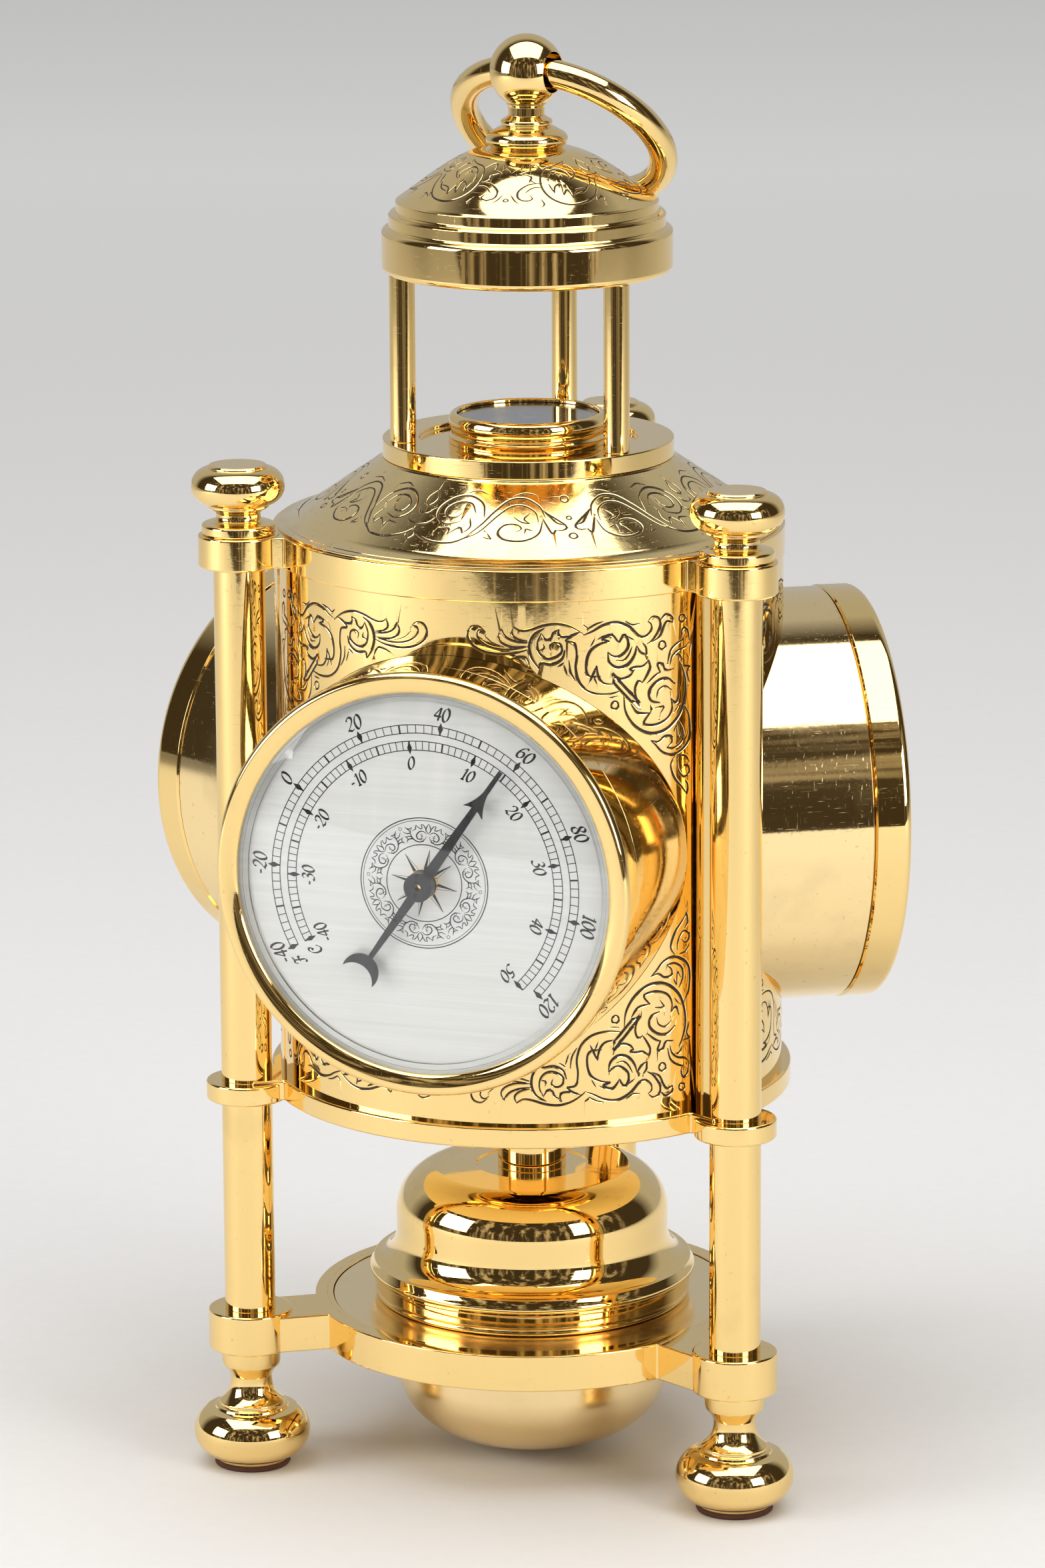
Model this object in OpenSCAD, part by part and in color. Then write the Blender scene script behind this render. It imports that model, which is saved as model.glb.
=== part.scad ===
// Three-sided lantern weather station: thermometer, clock and barometer in drums
// round a cylindrical body, between three pillars, under an open lantern with a
// compass, a canopy and a carrying ring.  Millimetres, +Z up, origin on the
// central axis at the surface it stands on.  The thermometer looks close to -Y.

/* [Pillars] */
// Distance of each pillar from the central axis
pillar_pcd_r = 54; // [52:0.5:58]
// Radius of the pillar tubes
tube_r = 4.7; // [4:0.1:5.5]
// Radius of the threaded tie rods inside the tubes
rod_r = 2.5; // [2:0.1:3]

/* [Base] */
// Outer radius of the lower ring plate
base_ring_r = 40.9; // [39:0.1:43]
// Radius of the disc let into the lower ring plate
base_disc_r = 37.35; // [36:0.05:38]
// Height of the underside of the lower ring plate
base_ring_z = 22.9; // [22:0.1:24]
// Thickness of the lower ring plate
base_ring_t = 6.8; // [6:0.1:7.5]
// Height of the flat top of the bell-shaped foot
bell_top_z = 54.4; // [52:0.1:56]

/* [Body] */
// Outer radius of the curved body panels
panel_r = 46.7; // [46:0.1:47]
// Thickness of the curved body panels
panel_t = 1.6; // [1.2:0.1:2]
// Height of the underside of the body's lower plate
body_base_z = 71.3; // [70:0.1:73]
// Height of the top of the body's lower plate, where the panels start
body_z0 = 75.2; // [74:0.1:76]
// Height of the underside of the top plate, where the panels end
body_z1 = 171.2; // [168:0.1:174]

/* [Dials] */
// Height of the three dials' common axis plane
dial_z = 123; // [122:0.1:125]
// Outer radius of the instrument drums
drum_r = 38.3; // [37:0.1:38.5]
// Outer radius of the bezels
bezel_r = 38.5; // [38.4:0.1:39.5]
// Distance of the drum's open end from the central axis
drum_end = 55.7; // [54:0.1:57]
// Distance of the bezel's crest from the central axis
bezel_front = 62.8; // [62.5:0.1:64]
// Angle that the dials are turned from midway between the pillars
dial_turn = -1.2; // [-2:0.1:0]
// Angle of the middle of the thermometer scale, counter-clockwise from the right
scale_mid = 83.4; // [80:0.1:100]
// Degrees of dial for each degree Fahrenheit
deg_per_f = 1.564; // [1.4:0.001:1.6]
// Temperature that the thermometer shows at rest, in degrees Fahrenheit
temperature_f = 58; // [-40:1:120]

/* [Lantern] */
// Radius of the lantern's lower ring
lantern_r = 26.65; // [26:0.05:27.5]
// Distance of each lantern post from the central axis
post_pcd_r = 23.3; // [22.5:0.1:24]
// Radius of the lantern posts
post_r = 2.37; // [2:0.01:2.6]
// Height of the underside of the canopy
canopy_z = 223.2; // [221:0.1:226]

/* [Carrying ring] */
// Radius of the ring handle's centre line
ring_r = 19.2; // [18.5:0.1:20]
// Radius of the ring handle's wire
ring_wire_r = 2.6; // [2.2:0.1:2.7]
// Angle of the finial's bore about the vertical axis
ring_turn = -12; // [-30:1:30]
// Lean of the ring from straight down, where it rests on the canopy
ring_lean = 47.6; // [47.6:0.1:60]

/* [Hidden] */

GOLD = [0.86, 0.62, 0.24];
SATIN = [0.78, 0.60, 0.30];
SILVER = [0.86, 0.87, 0.87];
BLACK = [0.06, 0.06, 0.06];
STEEL = [0.55, 0.56, 0.58];
GLASS = [0.85, 0.9, 0.92, 0.35];
FELT = [0.27, 0.13, 0.09];

$fn = 96;
eps = 0.01;            // how far a cutting tool runs past a face
seat = 0.05;           // slip gap round a tie rod, stud or seated disc

// angles of the pillars and of the dials about the central axis
a_left = -150;
a_right = -30;
a_back = 90;
a_thermometer = -90 + dial_turn;
a_clock = 30 + dial_turn;
a_barometer = 150 + dial_turn;
pillar_angles = [a_left, a_right, a_back];
dial_angles = [a_thermometer, a_clock, a_barometer];

// heights up a pillar
pad_t = 1.0;
lug_low_z0 = 22.8;
lug_low_z1 = 30.4;
lug_low_r = 7.8;
lug_mid_z0 = 71.0;
lug_mid_z1 = 74.6;
lug_mid_r = 7.5;
lug_top_z1 = 177.2;
lug_top_r = 7.4;
knob_top_z = 189.9;

// base
ring_top_z = base_ring_z + base_ring_t;
ledge_z = base_ring_z + 3;
ledge_r = 27;
disc_top_z = ring_top_z - 0.2;
arm_w = 13;
bell_wall = 1.3;
bell_rim_r = 30.5;
bowl_r = 25.4;
bowl_bottom_z = 1.6;
post_outer_r = 6.4;

// body and roof
top_plate_r = 46.95;
top_plate_t = 5.7;
roof_z = body_z1 + top_plate_t;
roof_top_z = 189.3;
seam_half = 2;         // half the angle between two panels, in degrees
seam_gap = 0.14;       // angle left open on each side of a seam strip

// lantern
lantern_ring_t = 3.4;
lantern_z1 = roof_top_z + lantern_ring_t;
recess_r = 19.9;
recess_z = lantern_z1 - 0.9;
canopy_top_z = 245.5;
canopy_top_r = 7.2;
ball_z = 259.35;
ball_r = 6.7;
ball_bore_r = 3.7;
ring_drop = 0.4;       // how far the wire rides off the bore's centre

// compass
compass_r = 14.56;
case_r = 13.4;

// dials, as distances from the central axis
drum_start = 25;
drum_wall = 1.5;
dial_plate_r = 36.4;
dial_face = 59.9;      // front face of the printed plates
dial_t = 0.6;
crystal_edge = 61.5;   // front of the crystal where it meets the bezel's lip
crystal_top = 65.8;    // front of the crystal's dome
crystal_t = 0.9;
crystal_r = 35.8;
lip_r = 34.6;
pointer_back = 61.5;   // rear face of the thermometer pointer
pointer_t = 0.4;
can_r = 33;
can_depth = 12;

// ---- outlines and helpers -------------------------------------------------

// points along an ellipse's arc, from angle a0 to a1
function arc(cx, cy, rx, ry, a0, a1, n = 12) =
    [for (i = [0:n]) let (a = a0 + (a1 - a0) * i / n) [cx + rx * cos(a), cy + ry * sin(a)]];

// points along a cubic curve between two ends, steered by two control points
function bezier(p0, p1, p2, p3, n = 12) = [for (i = [0:n]) let (t = i / n, s = 1 - t)
    s * s * s * p0 + 3 * s * s * t * p1 + 3 * s * t * t * p2 + t * t * t * p3];

// solid of revolution about the central axis from (radius, height) points
module turned(points) rotate_extrude() polygon(points);

// children moved out to a pillar's place
module at_pillar(a) rotate([0, 0, a]) translate([pillar_pcd_r, 0, 0]) children();

// children drawn along +Z are laid along a dial's outward axis; +Y stays up
module at_dial(a) translate([0, 0, dial_z]) rotate([0, 0, a + 90]) rotate([90, 0, 0]) children();

// hollow cylinder between two heights
module tube(r_out, r_in, z0, z1) difference() {
    translate([0, 0, z0]) cylinder(r = r_out, h = z1 - z0);
    translate([0, 0, z0 - eps]) cylinder(r = r_in, h = z1 - z0 + 2 * eps);
}

// round bar with its two end edges broken
module bar(r, z0, z1, chamfer = 0.4) turned([
    [0, z0], [r - chamfer, z0], [r, z0 + chamfer],
    [r, z1 - chamfer], [r - chamfer, z1], [0, z1]]);

// the hole that a tie rod passes through
module rod_hole(z0, z1) translate([0, 0, z0]) cylinder(r = rod_r + seat, h = z1 - z0);

// ---- pillars --------------------------------------------------------------

module felt_pads() color(FELT) for (a = pillar_angles) at_pillar(a) cylinder(r = 7.1, h = pad_t);

foot_outline = concat(
    [[0, pad_t], [6.8, pad_t], [7.0, 1.6]],
    arc(5.9, 6.5, 4.95, 5, -74, 58, 20),
    [[7.9, 10.8], [6.9, 11.0], [6.7, 11.5], [6.1, 11.7]],
    arc(8.9, 16.6, 5.05, 5.2, -124, -180, 10),
    [[3.85, 17.2], [4.3, 18.2], [5.3, 19.4], [5.5, 20.2], [5.5, lug_low_z0], [0, lug_low_z0]]);

module foot(a) color(GOLD) at_pillar(a) difference() {
    turned(foot_outline);
    rod_hole(11, lug_low_z0 + eps);
}

module lower_tube(a) color(GOLD) at_pillar(a)
    tube(tube_r, rod_r + seat, lug_low_z1, lug_mid_z0);

module upper_tube(a) color(GOLD) at_pillar(a)
    tube(tube_r, rod_r + seat, lug_mid_z1, body_z1);

module tie_rods() color(STEEL) for (a = pillar_angles) at_pillar(a)
    bar(rod_r, 11.2, lug_top_z1 + 7);

knob_outline = concat(
    [[0, lug_top_z1], [6.5, lug_top_z1], [6.7, lug_top_z1 + 0.3]],
    arc(6.15, lug_top_z1 + 1.45, 0.55, 0.55, 0, 90, 6),
    arc(5.6, 180.5, 1.55, 1.25, 262, 180, 6),
    [[4.05, 181.0], [4.6, 181.6], [5.3, 181.9], [5.6, 182.2], [5.6, 182.6]],
    arc(5.2, 186, 3.35, 3.4, -74, 78, 16),
    [[5.45, 189.3], [5.45, 189.6], [5.1, knob_top_z], [0, knob_top_z]]);

module knob(a) color(GOLD) at_pillar(a) difference() {
    turned(knob_outline);
    rod_hole(lug_top_z1 - eps, lug_top_z1 + 7.2);
}

// ---- base -----------------------------------------------------------------

// lug at a pillar with its web back to the plate
module lug(a, r, z0, z1, web_w, web_z0, web_z1, web_start) {
    at_pillar(a) bar(r, z0, z1, 0.5);
    rotate([0, 0, a]) translate([web_start, -web_w / 2, web_z0])
        cube([pillar_pcd_r - web_start, web_w, web_z1 - web_z0]);
}

module base_ring() color(GOLD) difference() {
    union() {
        translate([0, 0, base_ring_z]) cylinder(r = base_ring_r, h = base_ring_t);
        for (a = pillar_angles)
            lug(a, lug_low_r, lug_low_z0, lug_low_z1, arm_w, base_ring_z, ring_top_z, 38.5);
    }
    translate([0, 0, base_ring_z - eps]) cylinder(r = ledge_r, h = base_ring_t + 1);
    translate([0, 0, ledge_z]) cylinder(r = base_disc_r + seat * 3, h = base_ring_t);
    for (a = pillar_angles) at_pillar(a) rod_hole(lug_low_z0 - eps, lug_low_z1 + eps);
}

module base_disc() color(SATIN) tube(base_disc_r, rod_r + seat, ledge_z, disc_top_z);

bell_outside = concat(
    [[28.6, disc_top_z]],
    arc(28.7, disc_top_z + 0.8, 0.75, 0.75, -80, 80, 8),
    [[29.6, disc_top_z + 1.75], [29.6, 33.5], [bell_rim_r - 0.3, 33.8]],
    [[bell_rim_r, 34.2], [bell_rim_r, 35.7], [29.9, 36.2], [29.7, 36.7]],
    arc(29.7, 42.3, 4.25, 5.6, -90, -180, 10),
    arc(16.9, 45.6, 8.6, 8.7, 0, 82, 14),
    [[10.5, bell_top_z], [10.2, bell_top_z - 0.25], [rod_r + seat, bell_top_z - 0.25]]);
bell_inside = concat(
    [[rod_r + seat, bell_top_z - bell_wall - 0.25], [15.5, bell_top_z - bell_wall - 0.25]],
    arc(16.2, 45.6, 8, 7.2, 80, 0, 10),
    [[24.2, 43], [24.6, 40], [26.5, 36.5], [28, 33.5], [28, disc_top_z]]);

module bell() color(GOLD) turned(concat(bell_outside, bell_inside));

bowl_outside = concat(
    [[bowl_r, ledge_z], [bowl_r, 15]],
    arc(9.4, 15, 16, 13, 0, -88, 16),
    [[4.2, bowl_bottom_z]]);
bowl_inside = concat(
    [[6.4, bowl_bottom_z + 1.4]],
    arc(9.2, 15, 14.9, 11.7, -88, 0, 14),
    [[24.1, ledge_z]]);

module bowl() color(SATIN) turned(concat(
    bowl_outside, [[4.2, 2.6], [rod_r + seat, 2.6], [rod_r + seat, 3.9], [6.1, 3.9]],
    bowl_inside));

module centre_post() color(GOLD) tube(post_outer_r, rod_r + seat, bell_top_z - 0.25, body_base_z);

module centre_bolt() color(STEEL) {
    bar(rod_r, 2.6, 82);
    translate([0, 0, 1.6]) cylinder(r = 4, h = 1, $fn = 48);
    tube(5.2, rod_r, body_z0, body_z0 + 4);
}

// ---- body -----------------------------------------------------------------

module body_base() color(GOLD) difference() {
    union() {
        translate([0, 0, body_base_z]) cylinder(r = 48.4, h = body_z0 - body_base_z);
        for (a = pillar_angles)
            lug(a, lug_mid_r, lug_mid_z0, lug_mid_z1, 11, lug_mid_z0 + 0.3, lug_mid_z1, 44);
    }
    rod_hole(body_base_z - 1, body_z0 + 1);
    for (a = pillar_angles) at_pillar(a) rod_hole(lug_mid_z0 - eps, body_z0 + eps);
    for (a = pillar_angles) at_pillar(a)
        translate([0, 0, lug_mid_z1]) cylinder(r = lug_mid_r, h = body_z0);
}

// curved wall between two angles about the central axis
module curved_wall(r_out, t, a0, a1, z0, z1) rotate([0, 0, a0])
    rotate_extrude(angle = a1 - a0, $fn = 180) polygon([
        [r_out - t, z0], [r_out, z0], [r_out, z1], [r_out - t, z1]]);

module panel(a) color(GOLD) difference() {
    curved_wall(panel_r, panel_t, a - dial_turn - 60 + seam_half,
        a - dial_turn + 60 - seam_half, body_z0, body_z1);
    at_dial(a) translate([0, 0, 10]) cylinder(r = drum_r + seat, h = 60);
}

module seam_strips() color(GOLD) for (a = pillar_angles)
    curved_wall(panel_r - 0.25, panel_t, a - seam_half + seam_gap, a + seam_half - seam_gap,
        body_z0, body_z1);

module top_plate() color(GOLD) difference() {
    union() {
        translate([0, 0, body_z1]) cylinder(r = top_plate_r, h = top_plate_t);
        for (a = pillar_angles)
            lug(a, lug_top_r, body_z1, lug_top_z1, 10.5, body_z1, roof_z, 42);
    }
    translate([0, 0, body_z1 - eps]) cylinder(r = 22, h = top_plate_t + 2 * eps);
    for (a = pillar_angles) at_pillar(a) rod_hole(body_z1 - eps, lug_top_z1 + eps);
}

roof_outside = concat(
    [[46.2, roof_z], [46.2, roof_z + 0.45], [44.6, roof_z + 0.6]],
    arc(45.6, roof_z + 6.4, 5.6, 5.8, -100, -128, 6),
    [[27, roof_top_z - 0.35], [26.8, roof_top_z], [14.2, roof_top_z]]);
roof_inside = [[14.2, roof_top_z - 1.6], [25.4, roof_top_z - 1.6], [41, roof_z + 1], [41, roof_z]];

module roof() color(GOLD) turned(concat(roof_outside, roof_inside));

// ---- lantern --------------------------------------------------------------

module lantern_ring() color(GOLD) turned([
    [case_r + seat, roof_top_z], [lantern_r - 0.3, roof_top_z], [lantern_r, roof_top_z + 0.3],
    [lantern_r, lantern_z1 - 0.4], [lantern_r - 0.4, lantern_z1], [recess_r + 0.3, lantern_z1],
    [recess_r, lantern_z1 - 0.3], [recess_r, recess_z], [case_r + seat, recess_z]]);

module lantern_posts() color(GOLD) for (a = pillar_angles) rotate([0, 0, a])
    translate([post_pcd_r, 0, 0]) bar(post_r, lantern_z1, canopy_z, 0.15);

canopy_outside = concat(
    [[25.3, canopy_z]],
    arc(25.3, canopy_z + 1.2, 1.2, 1.2, -90, 0, 5),
    arc(25.3, canopy_z + 6.9, 1.2, 1.2, 0, 80, 5),
    [[25.2, 231.6], [25.2, 233.5], [24.9, 233.9], [24.2, 234.0], [23.9, 234.3]],
    [[23.9, 236.0]],
    bezier([23.4, 236.4], [19, 239.3], [12.5, 245.2], [canopy_top_r, canopy_top_z]),
    [[rod_r + seat, canopy_top_z]]);
canopy_inside = [
    [rod_r + seat, 243], [8, 241.5], [14, 239], [18.5, 235.5], [19.6, 232], [19.6, canopy_z]];

module canopy() color(GOLD) turned(concat(canopy_outside, canopy_inside));

finial_outline = concat(
    [[0, 242.4], [rod_r, 242.4], [rod_r, canopy_top_z], [6.5, canopy_top_z]],
    arc(5.6, 247.1, 1.85, 1.55, -60, 70, 8),
    [[5.2, 249.2], [4.4, 249.4], [4.67, 249.8], [4.67, 250.4], [3.9, 250.9]],
    [[3.27, 251.4], [3.27, 252.9], [3.6, 253.4], [3.6, 254.2]],
    [[3.2, 254.4], [0, 254.4]]);

module along_ring_axis() rotate([0, 0, ring_turn]) translate([0, 0, ball_z]) rotate([0, 90, 0])
    children();

module finial() color(GOLD) difference() {
    union() {
        turned(finial_outline);
        translate([0, 0, ball_z]) sphere(r = ball_r);
    }
    along_ring_axis() cylinder(r = ball_bore_r, h = 3 * ball_r, center = true);
}

// the ring's plane holds the bore's axis; its centre hangs down and to the back
module ring_handle() color(GOLD) rotate([0, 0, ring_turn]) translate([0, 0, ball_z])
    rotate([ring_lean, 0, 0]) translate([0, 0, ring_drop - ring_r]) rotate([90, 0, 0])
        rotate_extrude() translate([ring_r, 0]) circle(r = ring_wire_r, $fn = 48);

// ---- compass --------------------------------------------------------------

module compass_case() color(GOLD) difference() {
    translate([0, 0, 185.5]) cylinder(r = case_r, h = 10.2);
    translate([0, 0, 186.5]) cylinder(r = case_r - 0.8, h = 10.2);
}

module compass_bezel() color(GOLD) turned(concat(
    [[case_r + seat, recess_z], [compass_r, recess_z], [compass_r, recess_z + 1.2]],
    [[14.0, recess_z + 1.7], [14.0, recess_z + 2.2]],
    arc(13.45, 195.6, 1.1, 1.65, -60, 90, 10),
    arc(13.45, 196.9, 0.5, 0.35, 90, 180, 3),
    [[12.95, 196.55], [case_r + seat, 196.55]]));

module compass_glass() color(GLASS) translate([0, 0, 195.7]) cylinder(r = case_r, h = 0.8);

module compass_card() color(STEEL) union() {
    translate([0, 0, 193.0]) cylinder(r = case_r - 0.9, h = 0.5);
    translate([0, 0, 193.0]) cylinder(r = 0.4, h = 1.9, $fn = 24);
    tube(1.2, 0.2, 193.0, 193.9);
    translate([0, 0, 186.5]) cylinder(r = 2, h = 6.6, $fn = 32);
}

module compass_needle() color(BLACK) rotate([0, 0, 118]) difference() {
    union() {
        translate([0, 0, 194.2]) linear_extrude(height = 0.3)
            polygon([[10.8, 0], [0, 1.5], [-10.8, 0], [0, -1.5]]);
        translate([0, 0, 194.2]) cylinder(r = 1.5, h = 1.1, $fn = 32);
    }
    translate([0, 0, 194]) cylinder(r = 0.45, h = 1, $fn = 24);
}

// ---- instruments: every one is drawn along +Z, then laid on its own axis ---

module drum(a) color(GOLD) at_dial(a) tube(drum_r, drum_r - drum_wall, drum_start, drum_end);

module bezel(a) color(GOLD) at_dial(a) turned(concat(
    [[drum_r - drum_wall - seat, 52.5], [drum_r - drum_wall - seat, drum_end + 0.3]],
    [[bezel_r - 0.4, drum_end + 0.3], [bezel_r, drum_end + 0.7]],
    arc(bezel_r - 1.1, bezel_front - 1.5, 1.1, 1.5, 0, 90, 8),
    arc(bezel_r - 1.1, bezel_front - 1.2, bezel_r - 1.1 - lip_r, 1.2, 90, 180, 8),
    [[lip_r, crystal_edge], [crystal_r + seat, crystal_edge]],
    [[crystal_r + seat, dial_face + 0.05], [dial_plate_r + seat, dial_face + 0.05]],
    [[dial_plate_r + seat, 52.5]]));

// points of the dome from its rim in to a radius, with its centre at a height
function dome(top, r) = let (rise = crystal_top - crystal_edge,
    ball = (lip_r * lip_r + rise * rise) / (2 * rise))
    [for (i = [0:12]) let (x = lip_r - 0.2 + (r - lip_r + 0.2) * i / 12)
        [x, top - ball + sqrt(ball * ball - x * x)]];
function back(points) = [for (i = [len(points) - 1:-1:0]) points[i]];

// domed crystal with a rim that stands on the dial, and a hole where a knob passes through
module crystal(a, hole_r = 0) color(GLASS) at_dial(a) turned(concat(
    [[crystal_r - 2.9, dial_face + 0.05], [crystal_r, dial_face + 0.05]],
    [[crystal_r, crystal_edge - 0.05], [lip_r, crystal_edge - 0.05]],
    dome(crystal_top, hole_r),
    back(dome(crystal_top - crystal_t, hole_r)),
    [[crystal_r - 2.9, crystal_edge - 0.95]]));

module dial_plate(a, hole_r) color(SILVER) at_dial(a)
    tube(dial_plate_r, hole_r, dial_face - dial_t, dial_face);

// shallow can behind a dial, open towards the plate
module can(a) color(STEEL) at_dial(a) difference() {
    translate([0, 0, dial_face - dial_t - can_depth]) cylinder(r = can_r, h = can_depth);
    translate([0, 0, dial_face - dial_t - can_depth + 1]) cylinder(r = can_r - 1, h = can_depth);
}

// arrow-headed pointer with a crescent tail, drawn pointing along +X
function arrow_side(len) = concat(
    [[len, 0.4]],
    bezier([len - 5, 0.46], [len - 6.9, 0.8], [len - 8, 1.4], [len - 9.1, 2.1], 6),
    [[len - 8.6, 1.1]]);
function across(points) = [for (i = [len(points) - 1:-1:0]) [points[i][0], -points[i][1]]];

module pointer_shape(len, tail) union() {
    polygon([[0, 1.05], [len - 6, 0.55], [len - 6, -0.55], [0, -1.05]]);
    polygon(concat(arrow_side(len), [[len - 8.3, 0]], across(arrow_side(len))));
    polygon([[0, 0.95], [1.6 - tail, 0.4], [1.6 - tail, -0.4], [0, -0.95]]);
    difference() {
        translate([-tail, 0]) circle(r = 3.4, $fn = 64);
        translate([-tail - 2.2, 0]) circle(r = 3.5, $fn = 64);
    }
}

// the pointer as a flat blade with its round hub
module pointer_blade(z, hub_h) {
    translate([0, 0, z]) linear_extrude(height = pointer_t) pointer_shape(26.1, 20.2);
    translate([0, 0, z]) cylinder(r = 2.6, h = hub_h, $fn = 48);
}

module thermometer_case() can(a_thermometer);

// flat spiral of bimetal strip round the arbor, its outer end on a post
coil_turns = 4.25;
coil_pitch = 1.7;
coil_inner = 3.2;
coil_t = 0.5;
function spiral(extra, back = false) = [for (i = [0:8:coil_turns * 360])
    let (k = back ? coil_turns * 360 - i : i, r = coil_inner + coil_pitch * k / 360 + extra)
    [r * cos(k), r * sin(k)]];

module bimetal_coil() color([0.7, 0.55, 0.35]) at_dial(a_thermometer) {
    translate([0, 0, 50.9]) linear_extrude(height = 4)
        polygon(concat(spiral(0), spiral(coil_t, true)));
    rotate([0, 0, 90]) translate([coil_inner + coil_pitch * coil_turns + 0.2, 0, 48.3])
        cylinder(r = 1, h = 7, $fn = 32);
}

module thermometer_arbor() color(GOLD) at_dial(a_thermometer) {
    translate([0, 0, 49.4]) cylinder(r = 0.6, h = pointer_back - 49.4 + 1.2, $fn = 32);
    translate([0, 0, dial_face + 0.15]) cylinder(r = 2.7, h = 1.1, $fn = 48);
}

module thermometer_pointer() color(BLACK) at_dial(a_thermometer)
    rotate([0, 0, scale_mid - (temperature_f - 40) * deg_per_f]) difference() {
        pointer_blade(pointer_back, 2.1);
        translate([0, 0, pointer_back - 1]) cylinder(r = 0.6, h = 5, $fn = 32);
    }

// quartz movement box with its threaded neck through the dial
module clock_movement() color(BLACK) at_dial(a_clock) difference() {
    union() {
        translate([-22, -22, 44]) cube([44, 44, dial_face - dial_t - 44]);
        translate([0, 0, 53]) cylinder(r = 2.4, h = dial_face + 0.5 - 53);
    }
    translate([0, 0, 49]) cylinder(r = 1.6, h = 20, $fn = 48);
}

// leaf-shaped clock hand, pointing along +X
module hand_shape(len, w, hub) union() {
    circle(r = hub, $fn = 48);
    polygon([[0, 0.5], [len * 0.45, 0.42], [len * 0.62, w], [len * 0.78, 0.5], [len, 0.12],
        [len, -0.12], [len * 0.78, -0.5], [len * 0.62, -w], [len * 0.45, -0.42], [0, -0.5]]);
    polygon([[0, 0.5], [-len * 0.2, 0.75], [-len * 0.2, -0.75], [0, -0.5]]);
}

module hour_hand() color(BLACK) at_dial(a_clock) rotate([0, 0, 90 - 304]) {
    translate([0, 0, 60.6]) linear_extrude(height = 0.35) difference() {
        hand_shape(17.5, 1.9, 2.1);
        circle(r = 1, $fn = 32);
    }
    tube(1.5, 1, 51, 60.95);
}

module minute_hand() color(BLACK) at_dial(a_clock) rotate([0, 0, 90 - 48]) {
    translate([0, 0, 61.4]) linear_extrude(height = 0.35) hand_shape(25.5, 1.6, 2);
    translate([0, 0, 51.5]) cylinder(r = 0.9, h = 10.6, $fn = 32);
}

// corrugated capsule, bridge and arbor sleeve of the aneroid movement
module aneroid_capsule() color(STEEL) at_dial(a_barometer) {
    difference() {
        translate([0, 0, dial_face - dial_t - can_depth]) cylinder(r = can_r, h = can_depth);
        translate([0, 0, dial_face - dial_t - can_depth + 1])
            cylinder(r = can_r - 1, h = can_depth);
    }
    turned([[0, 48.2], [14, 48.3], [14, 48.9], [12, 49.2], [14, 49.5], [14, 50.1], [12, 50.4],
        [14, 50.7], [14, 51.3], [0, 51.5]]);
    translate([-20, -3, 48.2]) cube([2, 6, 7]);
    translate([18, -3, 48.2]) cube([2, 6, 7]);
    translate([-20, -3, 54.3]) difference() {
        cube([40, 6, 1]);
        translate([20, 3, -1]) cylinder(r = 0.7, h = 3, $fn = 32);
    }
}

module barometer_pointer() color(BLACK) at_dial(a_barometer) rotate([0, 0, 90 - 22]) {
    pointer_blade(60.5, 0.7);
    translate([0, 0, 52.4]) cylinder(r = 0.65, h = 8.5, $fn = 32);
}

// brass marker hand behind the crystal, turned by a knob in front of it
module set_hand() color(GOLD) at_dial(a_barometer) rotate([0, 0, 90 + 12]) {
    translate([0, 0, 61.5]) linear_extrude(height = 0.35) union() {
        circle(r = 2.2, $fn = 48);
        polygon([[0, 0.55], [25.6, 0.2], [25.6, -0.2], [0, -0.55]]);
        polygon([[0, 0.55], [-10, 0.9], [-10, -0.9], [0, -0.55]]);
    }
    translate([0, 0, 61.6]) cylinder(r = 1, h = crystal_top + 0.4 - 61.6, $fn = 32);
    translate([0, 0, crystal_top + 0.1]) bar(3.2, 0, 1.2, 0.3);
}

// ---- assembly: one line for each node -------------------------------------

felt_pads();
foot(a_left);  // foot_left
foot(a_right);  // foot_right
foot(a_back);  // foot_back
lower_tube(a_left);  // lower_tube_left
lower_tube(a_right);  // lower_tube_right
lower_tube(a_back);  // lower_tube_back
upper_tube(a_left);  // upper_tube_left
upper_tube(a_right);  // upper_tube_right
upper_tube(a_back);  // upper_tube_back
tie_rods();
knob(a_left);  // knob_left
knob(a_right);  // knob_right
knob(a_back);  // knob_back
base_ring();
base_disc();
bell();
bowl();
centre_post();
centre_bolt();
body_base();
panel(a_thermometer);  // panel_front
panel(a_clock);  // panel_right
panel(a_barometer);  // panel_left
seam_strips();
top_plate();
roof();
lantern_ring();
lantern_posts();
canopy();
finial();
ring_handle();
compass_case();
compass_bezel();
compass_glass();
compass_card();
compass_needle();
drum(a_thermometer);  // thermometer_drum
bezel(a_thermometer);  // thermometer_bezel
crystal(a_thermometer);  // thermometer_crystal
dial_plate(a_thermometer, 0.65);  // thermometer_dial
thermometer_case();
bimetal_coil();
thermometer_arbor();
thermometer_pointer();
drum(a_clock);  // clock_drum
bezel(a_clock);  // clock_bezel
crystal(a_clock);  // clock_crystal
dial_plate(a_clock, 2.4);  // clock_dial
clock_movement();
hour_hand();
minute_hand();
drum(a_barometer);  // barometer_drum
bezel(a_barometer);  // barometer_bezel
crystal(a_barometer, 1.05);  // barometer_crystal
dial_plate(a_barometer, 0.7);  // barometer_dial
aneroid_capsule();
barometer_pointer();
set_hand();
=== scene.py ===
"""Looks of the three-sided lantern weather station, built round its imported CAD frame.

Lengths in this file are millimetres, and mesh_piece turns them into Blender's metres.
"""
import math

import bpy
import numpy as np
from mathutils import Matrix, Vector
from mathutils.geometry import delaunay_2d_cdt


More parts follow.
